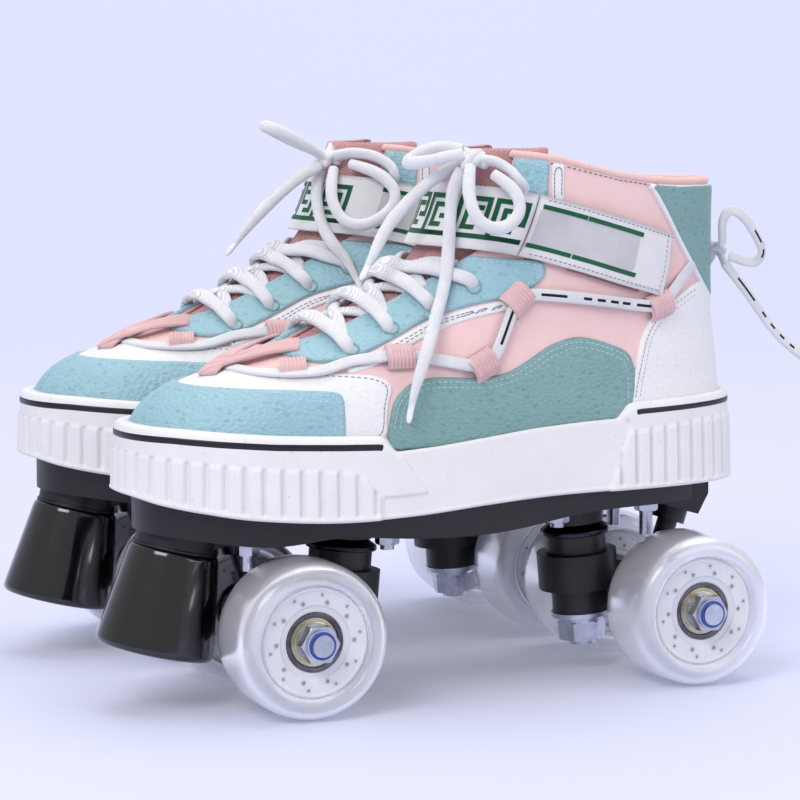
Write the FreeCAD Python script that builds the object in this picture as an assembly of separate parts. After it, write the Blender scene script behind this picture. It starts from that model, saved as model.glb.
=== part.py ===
import FreeCAD, Part
import os
import math
from FreeCAD import Vector as V

# Pair of quad roller skates built on a high-top trainer boot. Millimetres, +Z up, toes to -X,
# left skate at -Y, right skate (its mirror) at +Y, wheels standing on z = 0.
# Each skate is modelled in its own frame first: front axle at x = 0, skate centre plane y = 0,
# outer (lateral) side at -Y. place() then moves it into the pair.
os.makedirs("parts", exist_ok=True)

# ---- driving dimensions -------------------------------------------------------------------
WHEEL_R, WHEEL_W = 29.0, 32.0
WHEELBASE = 158.0
WHEEL_MID = 36.5          # wheel mid-plane to skate centre plane
PAIR_SPACING = 119.0      # centre plane to centre plane
RIGHT_SHIFT = -1.0        # right skate stands this far ahead of the left
X_SHIFT = -61.81         # brings the box centre of the pair to x = 0
BRG_OD, BRG_ID, BRG_W = 22.0, 8.0, 7.0
BRG_RECESS = 4.0          # bearing face below the wheel face
RACE_R = 6.0              # outer radius of the bearing's inner race
AXLE_R = 4.0
AXLE_END = 57.3
KP_R = 5.0                # kingpin M10
KP_TILT = 5.0             # degrees, foot of the kingpin leans to the axle
KP_X = 28.6               # kingpin to axle at height KP_Z
KP_Z = 40.0
RING_R, RING_TOP, RING_BOT = 15.5, 47.2, 33.2
PIVOT_X, PIVOT_Z = -12.0, 60.0
PLATE_TOP_GAP = 0.0
SOLE_FLARE_BOT, SOLE_FLARE_TOP = 5.0, 3.6
BOOT_BOTTOM = 84.0
SHELL_T = 4.0
OVERLAY_T = 1.2
STRAP_IN, STRAP_OUT = 1.9, 3.7
FLAP_X = 93.0             # where the free end of the ankle strap starts
TS_TOP = (-35.9, 58.0, 16.75)
TS_BOT = (-44.4, 20.7, 22.05)
LACE_D = 4.2
CORD_D = 3.6

# boot outline by height: z, nose x, heel x, widest x, half width, front power, rear power, waist
LEVELS = [
    (84.0, -52.5, 185.5, 44.0, 42.0, 2.30, 2.5, 3.0),
    (92.0, -52.0, 185.6, 44.0, 42.0, 2.30, 2.5, 3.0),
    (100.0, -51.0, 185.5, 45.0, 42.2, 2.28, 2.5, 2.6),
    (106.0, -48.7, 185.3, 46.0, 42.0, 2.25, 2.5, 2.2),
    (112.0, -43.5, 184.8, 49.0, 41.3, 2.22, 2.45, 1.8),
    (118.0, -32.5, 184.3, 55.0, 40.2, 2.20, 2.4, 1.4),
    (124.0, -14.5, 183.7, 64.0, 38.8, 2.18, 2.4, 1.0),
    (130.0, 1.5, 183.0, 73.0, 37.3, 2.15, 2.35, 0.6),
    (137.0, 17.0, 182.3, 83.0, 35.8, 2.12, 2.3, 0.3),
    (145.0, 32.5, 181.7, 94.0, 34.5, 2.10, 2.3, 0.0),
    (152.0, 44.0, 181.3, 102.0, 33.7, 2.10, 2.25, 0.0),
    (158.0, 52.5, 181.0, 108.0, 33.1, 2.10, 2.25, 0.0),
    (166.0, 60.5, 180.8, 112.0, 32.6, 2.10, 2.25, 0.0),
    (176.0, 66.0, 180.8, 116.0, 32.3, 2.10, 2.25, 0.0),
    (190.0, 71.0, 181.2, 120.0, 32.4, 2.10, 2.25, 0.0),
    (207.0, 76.0, 182.4, 124.0, 33.2, 2.10, 2.25, 0.0),
]


def level(z):
    """Outline numbers at height z, by straight interpolation of LEVELS."""
    if z <= LEVELS[0][0]:
        return LEVELS[0][1:]
    for a, b in zip(LEVELS, LEVELS[1:]):
        if z <= b[0]:
            t = (z - a[0]) / (b[0] - a[0])
            return tuple(p + (q - p) * t for p, q in zip(a[1:], b[1:]))
    return LEVELS[-1][1:]


def half_width(x, z, off=0.0):
    """Half width of the boot at x on the outline at height z; 0 outside it."""
    xf, xb, xc, w, nf, nb, waist = level(z)
    xf, xb, w = xf - off, xb + off, w + off
    if x <= xf or x >= xb:
        return 0.0
    t, n = ((xc - x) / (xc - xf), nf) if x < xc else ((x - xc) / (xb - xc), nb)
    y = w * (1.0 - abs(t) ** n) ** (1.0 / n)
    return y - waist * math.exp(-(((x - 98.0) / 34.0) ** 2))


def outline(z, off, n=36):
    """Closed outline points at height z, grown by off."""
    xf, xb, xc, w, nf, nb, waist = level(z)
    pts = []
    for i in range(n):
        a = 2.0 * math.pi * i / n
        c, s = math.cos(a), math.sin(a)
        if c > 0:
            x = xc - (xc - xf + off) * abs(c) ** (2.0 / nf)
            p = nf
        else:
            x = xc + (xb - xc + off) * abs(c) ** (2.0 / nb)
            p = nb
        y = (w + off) * abs(s) ** (2.0 / p)
        y = max(0.0, y - waist * math.exp(-(((x - 98.0) / 34.0) ** 2)) * min(1.0, y / 20.0))
        pts.append(V(x, -y if s > 0 else y, z))
    return pts


def closed_wire(pts):
    c = Part.BSplineCurve()
    c.interpolate(Points=pts, PeriodicFlag=True, Parameters=[float(i) for i in range(len(pts) + 1)])
    return Part.Wire([c.toShape()])


def boot_loft(off, dz, z0, z1):
    """Solid of the boot form: grown sideways by off and lifted by dz, from z0 to z1."""
    zs = [z0] + [r[0] + dz for r in LEVELS if z0 + 2.0 < r[0] + dz < z1 - 2.0] + [z1]
    wires = []
    for z in zs:
        pts = outline(z - dz, off)
        wires.append(closed_wire([V(p.x, p.y, z) for p in pts]))
    return Part.makeLoft(wires, True, False)


def prism_xz(pts, y0=-90.0, y1=90.0):
    w = Part.makePolygon([V(x, y0, z) for x, z in pts] + [V(pts[0][0], y0, pts[0][1])])
    return Part.Face(w).extrude(V(0, y1 - y0, 0))


def prism_xy(pts, z0, z1):
    w = Part.makePolygon([V(x, y, z0) for x, y in pts] + [V(pts[0][0], pts[0][1], z0)])
    return Part.Face(w).extrude(V(0, 0, z1 - z0))


def under_curve(pts, z_far, y0=-90.0, y1=90.0):
    """Prism between a smooth line through pts (x, z) and the level z_far."""
    c = Part.BSplineCurve()
    c.interpolate([V(x, y0, z) for x, z in pts])
    a, b = pts[0], pts[-1]
    w = Part.Wire([
        c.toShape(),
        Part.makeLine(V(b[0], y0, b[1]), V(b[0], y0, z_far)),
        Part.makeLine(V(b[0], y0, z_far), V(a[0], y0, z_far)),
        Part.makeLine(V(a[0], y0, z_far), V(a[0], y0, a[1])),
    ])
    return Part.Face(w).extrude(V(0, y1 - y0, 0))


def cyl(r, h, p, d):
    return Part.makeCylinder(r, h, V(*p), V(*d))


def tube(ro, ri, h, p, d):
    return cyl(ro, h, p, d).cut(cyl(ri, h, p, d))


def hexagon(af, h, p, d, bore=0.0, turn=0.0):
    """Hexagonal prism, across flats af, from p along d, with its corner edges taken off."""
    d = V(*d)
    d.normalize()
    r = af / math.sqrt(3.0)
    ref = V(0, 0, 1) if abs(d.z) < 0.9 else V(1, 0, 0)
    u = d.cross(ref)
    u.normalize()
    v = d.cross(u)
    pts = []
    for k in range(7):
        a = math.radians(60.0 * k + turn)
        pts.append(V(*p) + u * (r * math.cos(a)) + v * (r * math.sin(a)))
    s = Part.Face(Part.makePolygon(pts)).extrude(d * h)
    k = 0.9
    cone = Part.makeCone(r - k * 0.55, r + h, h + k * 0.55, V(*p), d)
    cone2 = Part.makeCone(r - k * 0.55, r + h, h + k * 0.55, V(*p) + d * h, d * -1)
    s = s.common(cone).common(cone2)
    if bore:
        s = s.cut(cyl(bore, h, p, (d.x, d.y, d.z)))
    return s


def revolve_y(prof, x, z):
    """Solid of revolution about the Y line through (x, z); prof is (y, r) points."""
    w = Part.makePolygon([V(x, y, z + r) for y, r in prof] + [V(x, prof[0][0], z + prof[0][1])])
    return Part.Face(w).revolve(V(x, 0, z), V(0, 1, 0), 360)


def solids(s):
    return list(s.Solids)


def keep(s, test):
    """The solids of s whose centre of mass passes test."""
    return [q for q in s.Solids if test(q.CenterOfMass) and q.Volume > 1.0]


def cord_tube(pts, d, name=""):
    """Tube along straight runs joined by tangent arcs, each arc as large as its runs allow."""
    P = [V(*p) for p in pts]
    edges, cur, length, radii = [], P[0], 0.0, []
    for i in range(1, len(P) - 1):
        a, b = P[i] - P[i - 1], P[i + 1] - P[i]
        la, lb = a.Length, b.Length
        a.normalize()
        b.normalize()
        turn = a.getAngle(b)
        run = min(la, lb)
        t = 0.45 * run
        r = t / math.tan(turn / 2.0)
        radii.append(round(r, 1))
        p0, p1 = P[i] - a * t, P[i] + b * t
        n = (b - a)
        n.normalize()
        c = P[i] + n * (r / math.cos(turn / 2.0))
        m = c - n * r
        edges.append(Part.LineSegment(cur, p0).toShape())
        edges.append(Part.Arc(p0, m, p1).toShape())
        length += (p0 - cur).Length + r * turn
        cur = p1
    edges.append(Part.LineSegment(cur, P[-1]).toShape())
    length += (P[-1] - cur).Length
    w = Part.Wire(edges)
    d0 = P[1] - P[0]
    prof = Part.Wire([Part.Circle(P[0], d0, d / 2.0).toShape()])
    s = w.makePipeShell([prof], True, False, 2)
    sec = math.pi * d * d / 4.0
    turns = [round(math.degrees((P[i] - P[i-1]).getAngle(P[i+1] - P[i]))) for i in range(1, len(P) - 1)]
    print("cord %-16s length %.1f  volume/section %.3f  least radius %.1f (%.1f d)  most turn %d  runs %s" % (
        name, length, s.Volume / (sec * length), min(radii), min(radii) / d, max(turns),
        [round((P[i] - P[i-1]).Length) for i in range(1, len(P))]))
    return s


# ---- running gear --------------------------------------------------------------------------
def wheel(x, side, outboard):
    """One wheel. side is the sign of its y; its two faces are alike."""
    y0 = side * WHEEL_MID
    h = WHEEL_W / 2.0
    R = WHEEL_R
    half = [(h - BRG_RECESS, 11.0), (h - BRG_RECESS, 13.2), (h - 3.3, 14.2), (h - 3.3, 19.0), (h - 0.6, 21.6),
            (h, 22.4), (h, 24.2), (h - 1.4, 26.6), (h - 3.6, 28.1), (h - 7.0, 28.85), (h - 11.0, R)]
    prof = [(y0 + a, r) for a, r in half] + [(y0 - a, r) for a, r in reversed(half)]
    s = revolve_y(prof, x, R)
    # lip that stops the bearings, between the two seats
    lip = h - BRG_RECESS - BRG_W
    ring = revolve_y([(y0 + lip, 9.4), (y0 + lip, 11.0), (y0 - lip, 11.0), (y0 - lip, 9.4)], x, R)
    return [s.fuse(ring).removeSplitter()]


def bearings(x, side):
    """The two outer rings with their shields; they turn with the wheel."""
    out = []
    for k in (-1, 1):
        yc = side * WHEEL_MID + k * (WHEEL_W / 2.0 - BRG_RECESS - BRG_W / 2.0)
        out.append(revolve_y([(yc - 3.5, 9.3), (yc - 3.5, 11.0), (yc + 3.5, 11.0), (yc + 3.5, 9.3), (yc + 3.0, 9.3),
                              (yc + 3.0, RACE_R + 0.06), (yc - 3.0, RACE_R + 0.06), (yc - 3.0, 9.3)], x, WHEEL_R))
    return out


def axle_set(x):
    """Axle, and at each end two inner races, spacer, washer and locknut."""
    R = WHEEL_R
    out = [cyl(AXLE_R, 2 * AXLE_END, (x, -AXLE_END, R), (0, 1, 0))]
    face = WHEEL_MID + WHEEL_W / 2.0 - BRG_RECESS
    inner = WHEEL_MID - WHEEL_W / 2.0 + BRG_RECESS
    for s in (-1, 1):
        for y in (face - BRG_W, inner):
            out.append(tube(RACE_R, AXLE_R, BRG_W, (x, s * y if s > 0 else -(y + BRG_W), R), (0, 1, 0)))
        out.append(tube(5.6, AXLE_R, face - inner - 2 * BRG_W, (x, s * (inner + BRG_W), R), (0, s, 0)))
        out.append(tube(7.2, AXLE_R, 1.0, (x, s * face, R), (0, s, 0)))
        nut = hexagon(13.0, 5.2, (x, s * (face + 1.0), R), (0, s, 0), AXLE_R)
        ring = tube(5.6, AXLE_R, 1.4, (x, s * (face + 6.2), R), (0, s, 0))
        out.append(nut.fuse(ring))
    return out


def kp_point(x_axle, inboard, z):
    """Point of the kingpin's axis at height z."""
    return x_axle + inboard * (KP_X + (z - KP_Z) * math.tan(math.radians(KP_TILT)))


def truck(x, inboard):
    """Hanger casting of one truck. inboard is +1 for the front truck and -1 for the rear."""
    t = math.radians(KP_TILT)
    d = V(inboard * math.sin(t), 0, math.cos(t))
    zb, zt = RING_BOT, RING_TOP
    pb = V(kp_point(x, inboard, zb), 0, zb)
    ring_h = (zt - zb) / math.cos(t)
    ring = Part.makeCylinder(RING_R, ring_h, pb, d)
    # axle housing with its stepped ends
    house = cyl(8.0, 36.0, (x, -18.0, WHEEL_R), (0, 1, 0))
    inner = WHEEL_MID - WHEEL_W / 2.0 + BRG_RECESS
    step = cyl(5.9, 2 * inner, (x, -inner, WHEEL_R), (0, 1, 0))
    xc = x + inboard * KP_X
    # web from the ring to the housing
    web = prism_xz([(x - inboard * 4.5, 24.0), (x + inboard * 8.0, 29.4), (x + inboard * 15.0, 34.2), (xc, 35.0), (xc, 45.5), (x + inboard * 6.0, 42.5), (x - inboard * 5.5, 34.0)], -9.0, 9.0)
    arm = prism_xz([(x - inboard * 7.5, 29.5), (x + inboard * 3.0, 29.5), (x + inboard * 4.0, 42.0), (x - inboard * 7.3, 50.6), (x - inboard * 11.5, 45.0)], -6.0, 6.0)
    pv = V(x + inboard * PIVOT_X, 0, PIVOT_Z)
    base = V(x - inboard * 6.0, 0, 42.0)
    dv = pv - base
    ln = dv.Length
    dv.normalize()
    pin = Part.makeCylinder(4.0, ln, base, dv).fuse(Part.makeSphere(4.0, pv))
    s = house.fuse([step, ring, web, arm, pin]).removeSplitter()
    s = s.cut(Part.makeCylinder(KP_R + 2.6, ring_h + 4.0, pb - d * 2.0, d))
    s = s.cut(cyl(AXLE_R, 2 * AXLE_END, (x, -AXLE_END, WHEEL_R), (0, 1, 0)))
    return [s]


def kingpin(x, inboard):
    """Kingpin bolt with its two cup washers and its nut."""
    t = math.radians(KP_TILT)
    d = V(inboard * math.sin(t), 0, math.cos(t))

    def at(z):
        return V(kp_point(x, inboard, z), 0, z)
    bolt = Part.makeCylinder(KP_R, 59.6, at(10.6), d)
    cup = Part.makeCone(12.4, 9.0, 4.2, at(54.4), d).fuse(Part.makeCylinder(13.0, 1.6, at(54.4), d)).cut(Part.makeCylinder(KP_R, 12.0, at(50.0), d))
    low = Part.makeCylinder(11.4, 1.8, at(22.0), d).cut(Part.makeCylinder(KP_R, 6.0, at(20.0), d))
    a = at(12.6)
    nut = hexagon(16.0, 7.4, (a.x, a.y, a.z), (d.x, d.y, d.z), KP_R, 14.0)
    rim = Part.makeCylinder(8.6, 1.9, at(20.05), d).cut(Part.makeCylinder(KP_R, 5.0, at(19.0), d))
    return [bolt, cup, low, nut.fuse(rim)]


def cushions(x, inboard):
    t = math.radians(KP_TILT)
    d = V(inboard * math.sin(t), 0, math.cos(t))

    def at(z):
        return V(kp_point(x, inboard, z), 0, z)
    up = Part.makeCylinder(11.9, 54.3 - 47.4, at(47.35), d)
    lo = Part.makeCylinder(10.8, 33.05 - 23.95, at(23.95), d)
    bore = Part.makeCylinder(KP_R + 0.05, 60.0, at(12.0), d)
    return [up.cut(bore), lo.cut(bore)]


def pivot_cup(x, inboard):
    pv = V(x + inboard * PIVOT_X, 0, PIVOT_Z)
    base = V(x - inboard * 6.0, 0, 42.0)
    dv = pv - base
    dv.normalize()
    s = Part.makeCylinder(6.6, 9.6, pv - dv * 3.4, dv)
    hole = Part.makeCylinder(4.35, 5.0, pv - dv * 5.0, dv).fuse(Part.makeSphere(4.35, pv))
    return [s.cut(hole)]


# ---- baseplate ------------------------------------------------------------------------------
SOLE_BOTTOM = [(-75, 84.0), (-57, 80.6), (-48, 77.8), (-35, 75.2), (-18, 72.7), (10, 71.0), (40, 71.8), (70, 74.0),
               (100, 75.5), (130, 75.8), (160, 75.6), (190, 75.2), (210, 75.0)]
TREAD_BOTTOM = SOLE_BOTTOM


def sole_outline(z, off):
    return outline(90.0, off)


def slab(off, z0, z1):
    w = closed_wire([V(p.x, p.y, z0) for p in outline(88.0, off, 40)])
    return Part.Face(w).extrude(V(0, 0, z1 - z0))


def baseplate():
    """Moulded chassis plate under the sole, with truck seats and the stop's boss."""
    blank = slab(-1.5, 50.0, 90.0).cut(prism_xz([(166.0, 40), (230.0, 40), (230.0, 100), (166.0, 100)]))
    top = under_curve([(x, z - 0.02) for x, z in SOLE_BOTTOM], 40.0)
    lower = under_curve([(-75, 66.5), (-50, 66.0), (-30, 63.6), (-8, 62.0), (14, 64.4), (30, 63.6), (60, 62.0), (90, 63.6), (110, 66.6), (128, 68.0), (150, 68.2), (175, 68.2), (210, 68.4)], 120.0)
    plate = blank.common(top).common(lower)
    # kept clear of the wheels: narrow waist beside each truck
    body = plate
    # truck seats
    adds = []
    for x, inboard in ((0.0, 1), (WHEELBASE, -1)):
        t = math.radians(KP_TILT)
        d = V(inboard * math.sin(t), 0, math.cos(t))
        zt = 71.5 if inboard > 0 else 75.0
        adds.append(Part.makeCone(11.2, 13.0, zt - 58.7, V(kp_point(x, inboard, 58.7), 0, 58.7), d))
        # pivot housing: a wedge that hangs below the plate
        if inboard > 0:
            adds.append(prism_xz([(-26.0, 58.2), (-3.0, 62.5), (-3.0, 71.5), (-26.0, 72.5)], -11.0, 11.0))
        else:
            adds.append(prism_xz([(WHEELBASE + 5.0, 64.0), (WHEELBASE + 18.5, 60.0), (WHEELBASE + 23.0, 68.0), (WHEELBASE + 23.0, 75.0), (WHEELBASE + 2.0, 75.0)], -11.0, 11.0))
    # boss of the toe stop
    a = V(TS_TOP[0] - TS_BOT[0], 0, TS_TOP[1] - TS_BOT[1])
    a.normalize()
    adds.append(Part.makeCylinder(15.4, 14.0, V(TS_TOP[0], 0, TS_TOP[1] + 0.05) + a * 0.2, a))
    body = body.fuse(adds)
    body = body.common(top)
    for x, inboard in ((0.0, 1), (WHEELBASE, -1)):
        pv = V(x + inboard * PIVOT_X, 0, PIVOT_Z)
        base = V(x - inboard * 6.0, 0, 42.0)
        dv = pv - base
        dv.normalize()
        body = body.cut(Part.makeCylinder(6.6, 14.0, pv - dv * 7.8, dv))
        t = math.radians(KP_TILT)
        d = V(inboard * math.sin(t), 0, math.cos(t))
        body = body.cut(Part.makeCylinder(KP_R, 61.4, V(kp_point(x, inboard, 10.6), 0, 10.6), d))
    for bx, by, z0, z1 in BOLTS:
        body = body.cut(cyl(2.6, 40.0, (bx, by, 45.0), (0, 0, 1)))
    a2 = V(TS_TOP[0] - TS_BOT[0], 0, TS_TOP[1] - TS_BOT[1])
    a2.normalize()
    body = body.cut(Part.makeCylinder(4.0, 12.0, V(TS_TOP[0], 0, TS_TOP[1]) - a2 * 1.0, a2))
    return solids(body.removeSplitter())


BOLTS = [(-14.5, -19.0, 51.5, 70.0), (-14.5, 19.0, 51.5, 70.0), (40.5, -19.5, 56.0, 70.0), (40.5, 19.5, 56.0, 70.0),
         (111.0, -19.0, 60.0, 72.0), (111.0, 19.0, 60.0, 72.0), (152.0, -13.5, 54.0, 72.0), (152.0, 13.5, 54.0, 72.0)]


def bolts():
    """Screws that hold the plate to the sole, with their nuts under the plate."""
    out = []
    lower = baseplate_lower
    for bx, by, z0, z1 in BOLTS:
        zn = lower(bx) - 5.2
        out.append(cyl(2.6, z1 - z0, (bx, by, z0), (0, 0, 1)))
        out.append(hexagon(8.0, 4.2, (bx, by, zn + 0.35), (0, 0, 1), 2.6))
    return out


def baseplate_lower(x):
    c = Part.BSplineCurve()
    pts = [(-75, 66.5), (-50, 66.0), (-30, 63.6), (-8, 62.0), (14, 64.4), (30, 63.6), (60, 62.0), (90, 63.6), (110, 66.6), (128, 68.0), (150, 68.2), (175, 68.2), (210, 68.4)]
    c.interpolate([V(a, 0, b) for a, b in pts])
    e = c.toShape()
    line = Part.makeLine(V(x, 0, 30), V(x, 0, 110))
    return e.distToShape(line)[1][0][0].z


def toe_stop():
    a = V(TS_TOP[0] - TS_BOT[0], 0, TS_TOP[1] - TS_BOT[1])
    h = a.Length
    a.normalize()
    b = V(TS_BOT[0], 0, TS_BOT[1])
    s = Part.makeCone(TS_BOT[2] - 1.2, TS_BOT[2], 1.2, b, a).fuse(Part.makeCone(TS_BOT[2], TS_TOP[2], h - 1.2, b + a * 1.2, a))
    s = s.cut(Part.makeCylinder(4.0, h - 10.0, b + a * 10.0, a))
    return [s.removeSplitter()]


def toe_stop_bolt():
    a = V(TS_TOP[0] - TS_BOT[0], 0, TS_TOP[1] - TS_BOT[1])
    h = a.Length
    a.normalize()
    b = V(TS_BOT[0], 0, TS_BOT[1]) + a * 10.0
    return [Part.makeCylinder(4.0, h - 10.0 + 8.0, b, a)]


# ---- sole and boot ---------------------------------------------------------------------------
SOLE_TOP = [(-80, 106.0), (-57, 105.6), (-45, 105.2), (-30, 104.0), (-12, 102.8), (12, 102.0), (34, 101.6)]
SOLE_TOP_MID = [(34, 95.4), (50, 96.6), (67, 98.4), (90, 100.8), (112, 102.2), (132, 102.8)]


def outsole(boot):
    w0 = closed_wire([V(p.x, p.y, 68.0) for p in outline(88.0, SOLE_FLARE_BOT)])
    w1 = closed_wire([V(p.x, p.y, 112.0) for p in outline(88.0, SOLE_FLARE_TOP)])
    s = Part.makeLoft([w0, w1], True, True)
    s = s.cut(under_curve(SOLE_BOTTOM, 40.0))
    s = s.cut(under_curve(SOLE_TOP, 130.0).fuse(prism_xz([(-90, 104), (-79.9, 104), (-79.9, 130), (-90, 130)])))
    s = s.cut(under_curve(SOLE_TOP_MID, 130.0))
    s = s.cut(prism_xz([(132, 102.8), (136.0, 108.6), (205, 109.6), (205, 130), (131.9, 130)]))
    s = s.cut(boot)
    return solids(s)


def throat(half, front):
    """Plan outline of the lacing gap, for cutting downwards."""
    pts = [(front, half * 0.42), (front + 6, half * 0.62), (24, half * 0.78), (44, half * 0.92), (62, half * 1.08), (76, half * 1.35), (112, half * 1.5)]
    return [(x, -y) for x, y in pts] + [(x, y) for x, y in reversed(pts)]


COLLAR = [(40, 203.0), (70, 203.0), (84, 202.6), (96, 201.4), (106, 199.6), (118, 196.6), (130, 193.8), (142, 192.0), (156, 191.0), (172, 190.8), (200, 190.8)]


def boot_parts():
    outer = boot_loft(0.0, 0.0, BOOT_BOTTOM, 205.0)
    collar_cut = under_curve(COLLAR, 230.0)
    closed = outer.cut(collar_cut)
    inner = boot_loft(-SHELL_T, -2.6, BOOT_BOTTOM + 4.0, 204.0)
    shell = closed.cut(inner.fuse(prism_xy([(p.x, p.y) for p in outline(201.0, -SHELL_T, 40)], 200.0, 215.0)))
    gap = prism_xy(throat(17.5, 9.0), 120.0, 220.0)
    shell = shell.cut(gap)
    shell = [max(shell.Solids, key=lambda q: q.Volume)]
    skin = boot_loft(-0.7, -0.2, BOOT_BOTTOM + 12.0, 204.5).cut(boot_loft(-SHELL_T + 0.6, -2.2, BOOT_BOTTOM + 11.0, 206.0))
    tongue = skin.common(prism_xy(throat(17.0, 10.0)[0:6] + throat(17.0, 10.0)[8:], 120.0, 203.0))
    tongue = [max(tongue.Solids, key=lambda q: q.Volume)]
    # leather overlays: a skin over the boot, cut to each panel's outline
    o1 = boot_loft(OVERLAY_T, 0.6, BOOT_BOTTOM + 2.0, 204.0)
    skin1 = o1.cut(outer).cut(collar_cut)
    panels = []
    toe = skin1.common(prism_xz([(-75, 98), (17.5, 98), (17.0, 118.6), (-75, 118.6)]))
    side = skin1.common(prism_xz([(31, 90), (33.0, 108), (37, 116), (46, 121), (60, 121), (72, 120), (82, 121.5), (92, 127), (102, 131.5), (112, 133.0), (124, 130), (136.5, 125), (133.5, 90)]))
    eyes = skin1.common(prism_xz([(-1, 131.5), (-5, 140), (20, 160), (60, 200), (64, 200), (66, 163), (84, 162), (100, 161), (99, 152), (84, 148), (68, 146), (52, 142), (36, 133), (20, 127.5), (8, 128)]))
    eyes = eyes.cut(gap)
    patch = skin1.common(prism_xz([(80, 185), (98, 184), (101.5, 205), (80, 205)])).cut(gap)
    tab = skin1.common(prism_xz([(164.5, 205), (166.5, 188), (170.5, 168), (184, 143.5), (195, 140), (195, 205)]))
    count = skin1.common(prism_xz([(133.9, 90), (137.2, 124.6), (141.0, 138), (150.5, 146.5), (166, 157), (171.2, 160), (183.6, 141.0), (200, 139), (200, 90)]))
    for s in (toe, side, eyes, patch, tab):
        panels += keep(s, lambda c: True)
    return closed, outer, o1, shell, tongue, panels, keep(count, lambda c: True)


BAND_TOP = [(38, 191.5), (70, 190.0), (88, 188.4), (104, 185.0), (128, 178.4), (150.6, 171.6)]
BAND_BOT = [(146, 148.0), (128, 153.0), (111, 158.0), (90, 163.4), (70, 166.0), (38, 166.5)]


def straps():
    s0 = boot_loft(STRAP_OUT, 0.0, 130.0, 206.0).cut(boot_loft(STRAP_IN, 0.0, 128.0, 207.0))
    band = s0.common(prism_xz(BAND_TOP + BAND_BOT))
    rear = prism_xz([(FLAP_X, 120), (220, 120), (220, 215), (FLAP_X, 215)], -90.0, 0.0)
    rear2 = prism_xz([(FLAP_X - 0.5, 120), (220, 120), (220, 215), (FLAP_X - 0.5, 215)], -90.0, 0.0)
    flap = keep(band.common(rear), lambda c: True)
    main = keep(band.cut(rear2), lambda c: True)
    return main, flap


# ---- laces and drawcord (skate's own frame) ---------------------------------------------------
def top_z(x, y, off=0.0):
    """Height at which the boot form passes through (x, y), from above."""
    lo, hi = 86.0, 206.0
    for _ in range(40):
        mid = 0.5 * (lo + hi)
        if half_width(x, mid, off) > abs(y):
            lo = mid
        else:
            hi = mid
    return lo


EYELETS = [(22.0, 26.6), (38.0, 26.2), (54.2, 26.6), (70.0, 28.2)]
BAR_DIP = [2.6, 2.6, 6.0, 17.0]          # how far each bar's middle lies ahead of its eyelets
COLLAR_EYELET = (90.0, 28.0, 189.4)
KNOT = {"left": (75.0, -20.0, 199.5), "right": (70.1, 10.0, 196.4)}
LACE_ENDS = {
    "left": {
        "tail_a": [(71.0, -18.5, 196.0), (67.6, -18.5, 190.0), (66.2, -19.3, 181.6), (64.6, -21.6, 172.9), (62.6, -24.9, 163.7),
                   (59.9, -28.2, 154.4), (53.4, -34.6, 142.8), (46.8, -42.6, 132.9), (42.2, -46.2, 124.0), (39.0, -47.0, 115.9), (37.2, -47.4, 107.4)],
        "tail_b": [(74.3, -15.0, 199.0), (67.9, -13.0, 196.0), (61.1, -12.0, 191.6), (54.6, -12.0, 186.2), (47.7, -13.0, 180.1),
                   (42.0, -15.0, 174.6), (37.8, -17.2, 168.6), (33.9, -19.2, 162.8), (29.9, -21.0, 157.3)],
        "loop_a": [(73.0, -15.0, 203.2), (67.5, -11.0, 204.4), (61.5, -6.5, 203.0), (56.5, -4.5, 200.0), (53.0, -8.5, 198.2),
                   (54.5, -14.5, 198.4), (60.0, -18.5, 199.6), (65.5, -20.5, 201.2), (69.8, -21.5, 201.6)],
        "loop_b": [(71.5, -25.0, 197.0), (68.4, -30.0, 191.4), (67.2, -34.0, 185.0), (68.4, -37.2, 178.8), (73.2, -39.2, 174.8),
                   (79.8, -40.0, 175.4), (84.6, -40.2, 180.0), (85.0, -38.6, 186.2), (82.4, -35.0, 191.0), (78.6, -30.0, 194.4)],
    },
    "right": {
        "tail_a": [(64.5, 13.5, 194.0), (56.8, 14.6, 190.6), (49.3, 16.0, 185.4), (41.9, 16.0, 179.1), (34.9, 15.0, 171.9), (30.0, 14.0, 165.6), (25.3, 13.0, 159.5)],
        "tail_b": [(66.5, 9.3, 191.1), (63.9, 12.3, 184.4), (62.4, 17.3, 177.2), (62.6, 22.8, 169.2), (64.6, 28.8, 163.0), (68.6, 31.4, 157.8), (71.1, 34.4, 151.9), (73.3, 37.4, 145.1)],
        "loop_a": [(67.5, 6.0, 199.5), (60.0, 4.0, 203.0), (52.0, 3.0, 206.5), (45.5, 5.0, 209.5), (42.0, 10.0, 210.6), (45.0, 15.0, 209.4), (51.5, 17.0, 206.0), (58.5, 16.5, 202.2), (65.0, 14.0, 198.9)],
        "loop_b": [(70.2, 16.1, 192.9), (66.8, 20.9, 186.6), (65.9, 25.2, 178.9), (68.4, 30.0, 172.5), (74.0, 34.8, 170.2), (81.0, 38.2, 172.9), (87.2, 38.6, 178.5), (88.9, 36.6, 184.6), (85.4, 33.0, 190.0), (80.5, 27.0, 193.3), (76.6, 19.2, 194.9)],
    },
}
DRAW_SIDE = [(165.3, 26.6, 158.3), (156.2, 30.6, 151.9), (146.4, 33.4, 144.6), (137.5, 34.7, 143.9), (119.5, 36.8, 146.6), (102.6, 37.3, 149.2),
             (89.6, 37.4, 147.6), (83.3, 38.3, 141.5), (78.1, 40.0, 132.6), (71.2, 41.8, 125.8), (60.8, 41.7, 125.6), (48.7, 40.1, 127.8), (36.3, 37.9, 128.4),
             (19.5, 34.8, 126.7), (5.8, 31.6, 124.6), (-3.4, 26.9, 124.2), (-11.0, 19.4, 124.3), (-15.4, 8.4, 124.9)]
DRAW_KNOT = (187.4, -3.0, 162.6)
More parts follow.
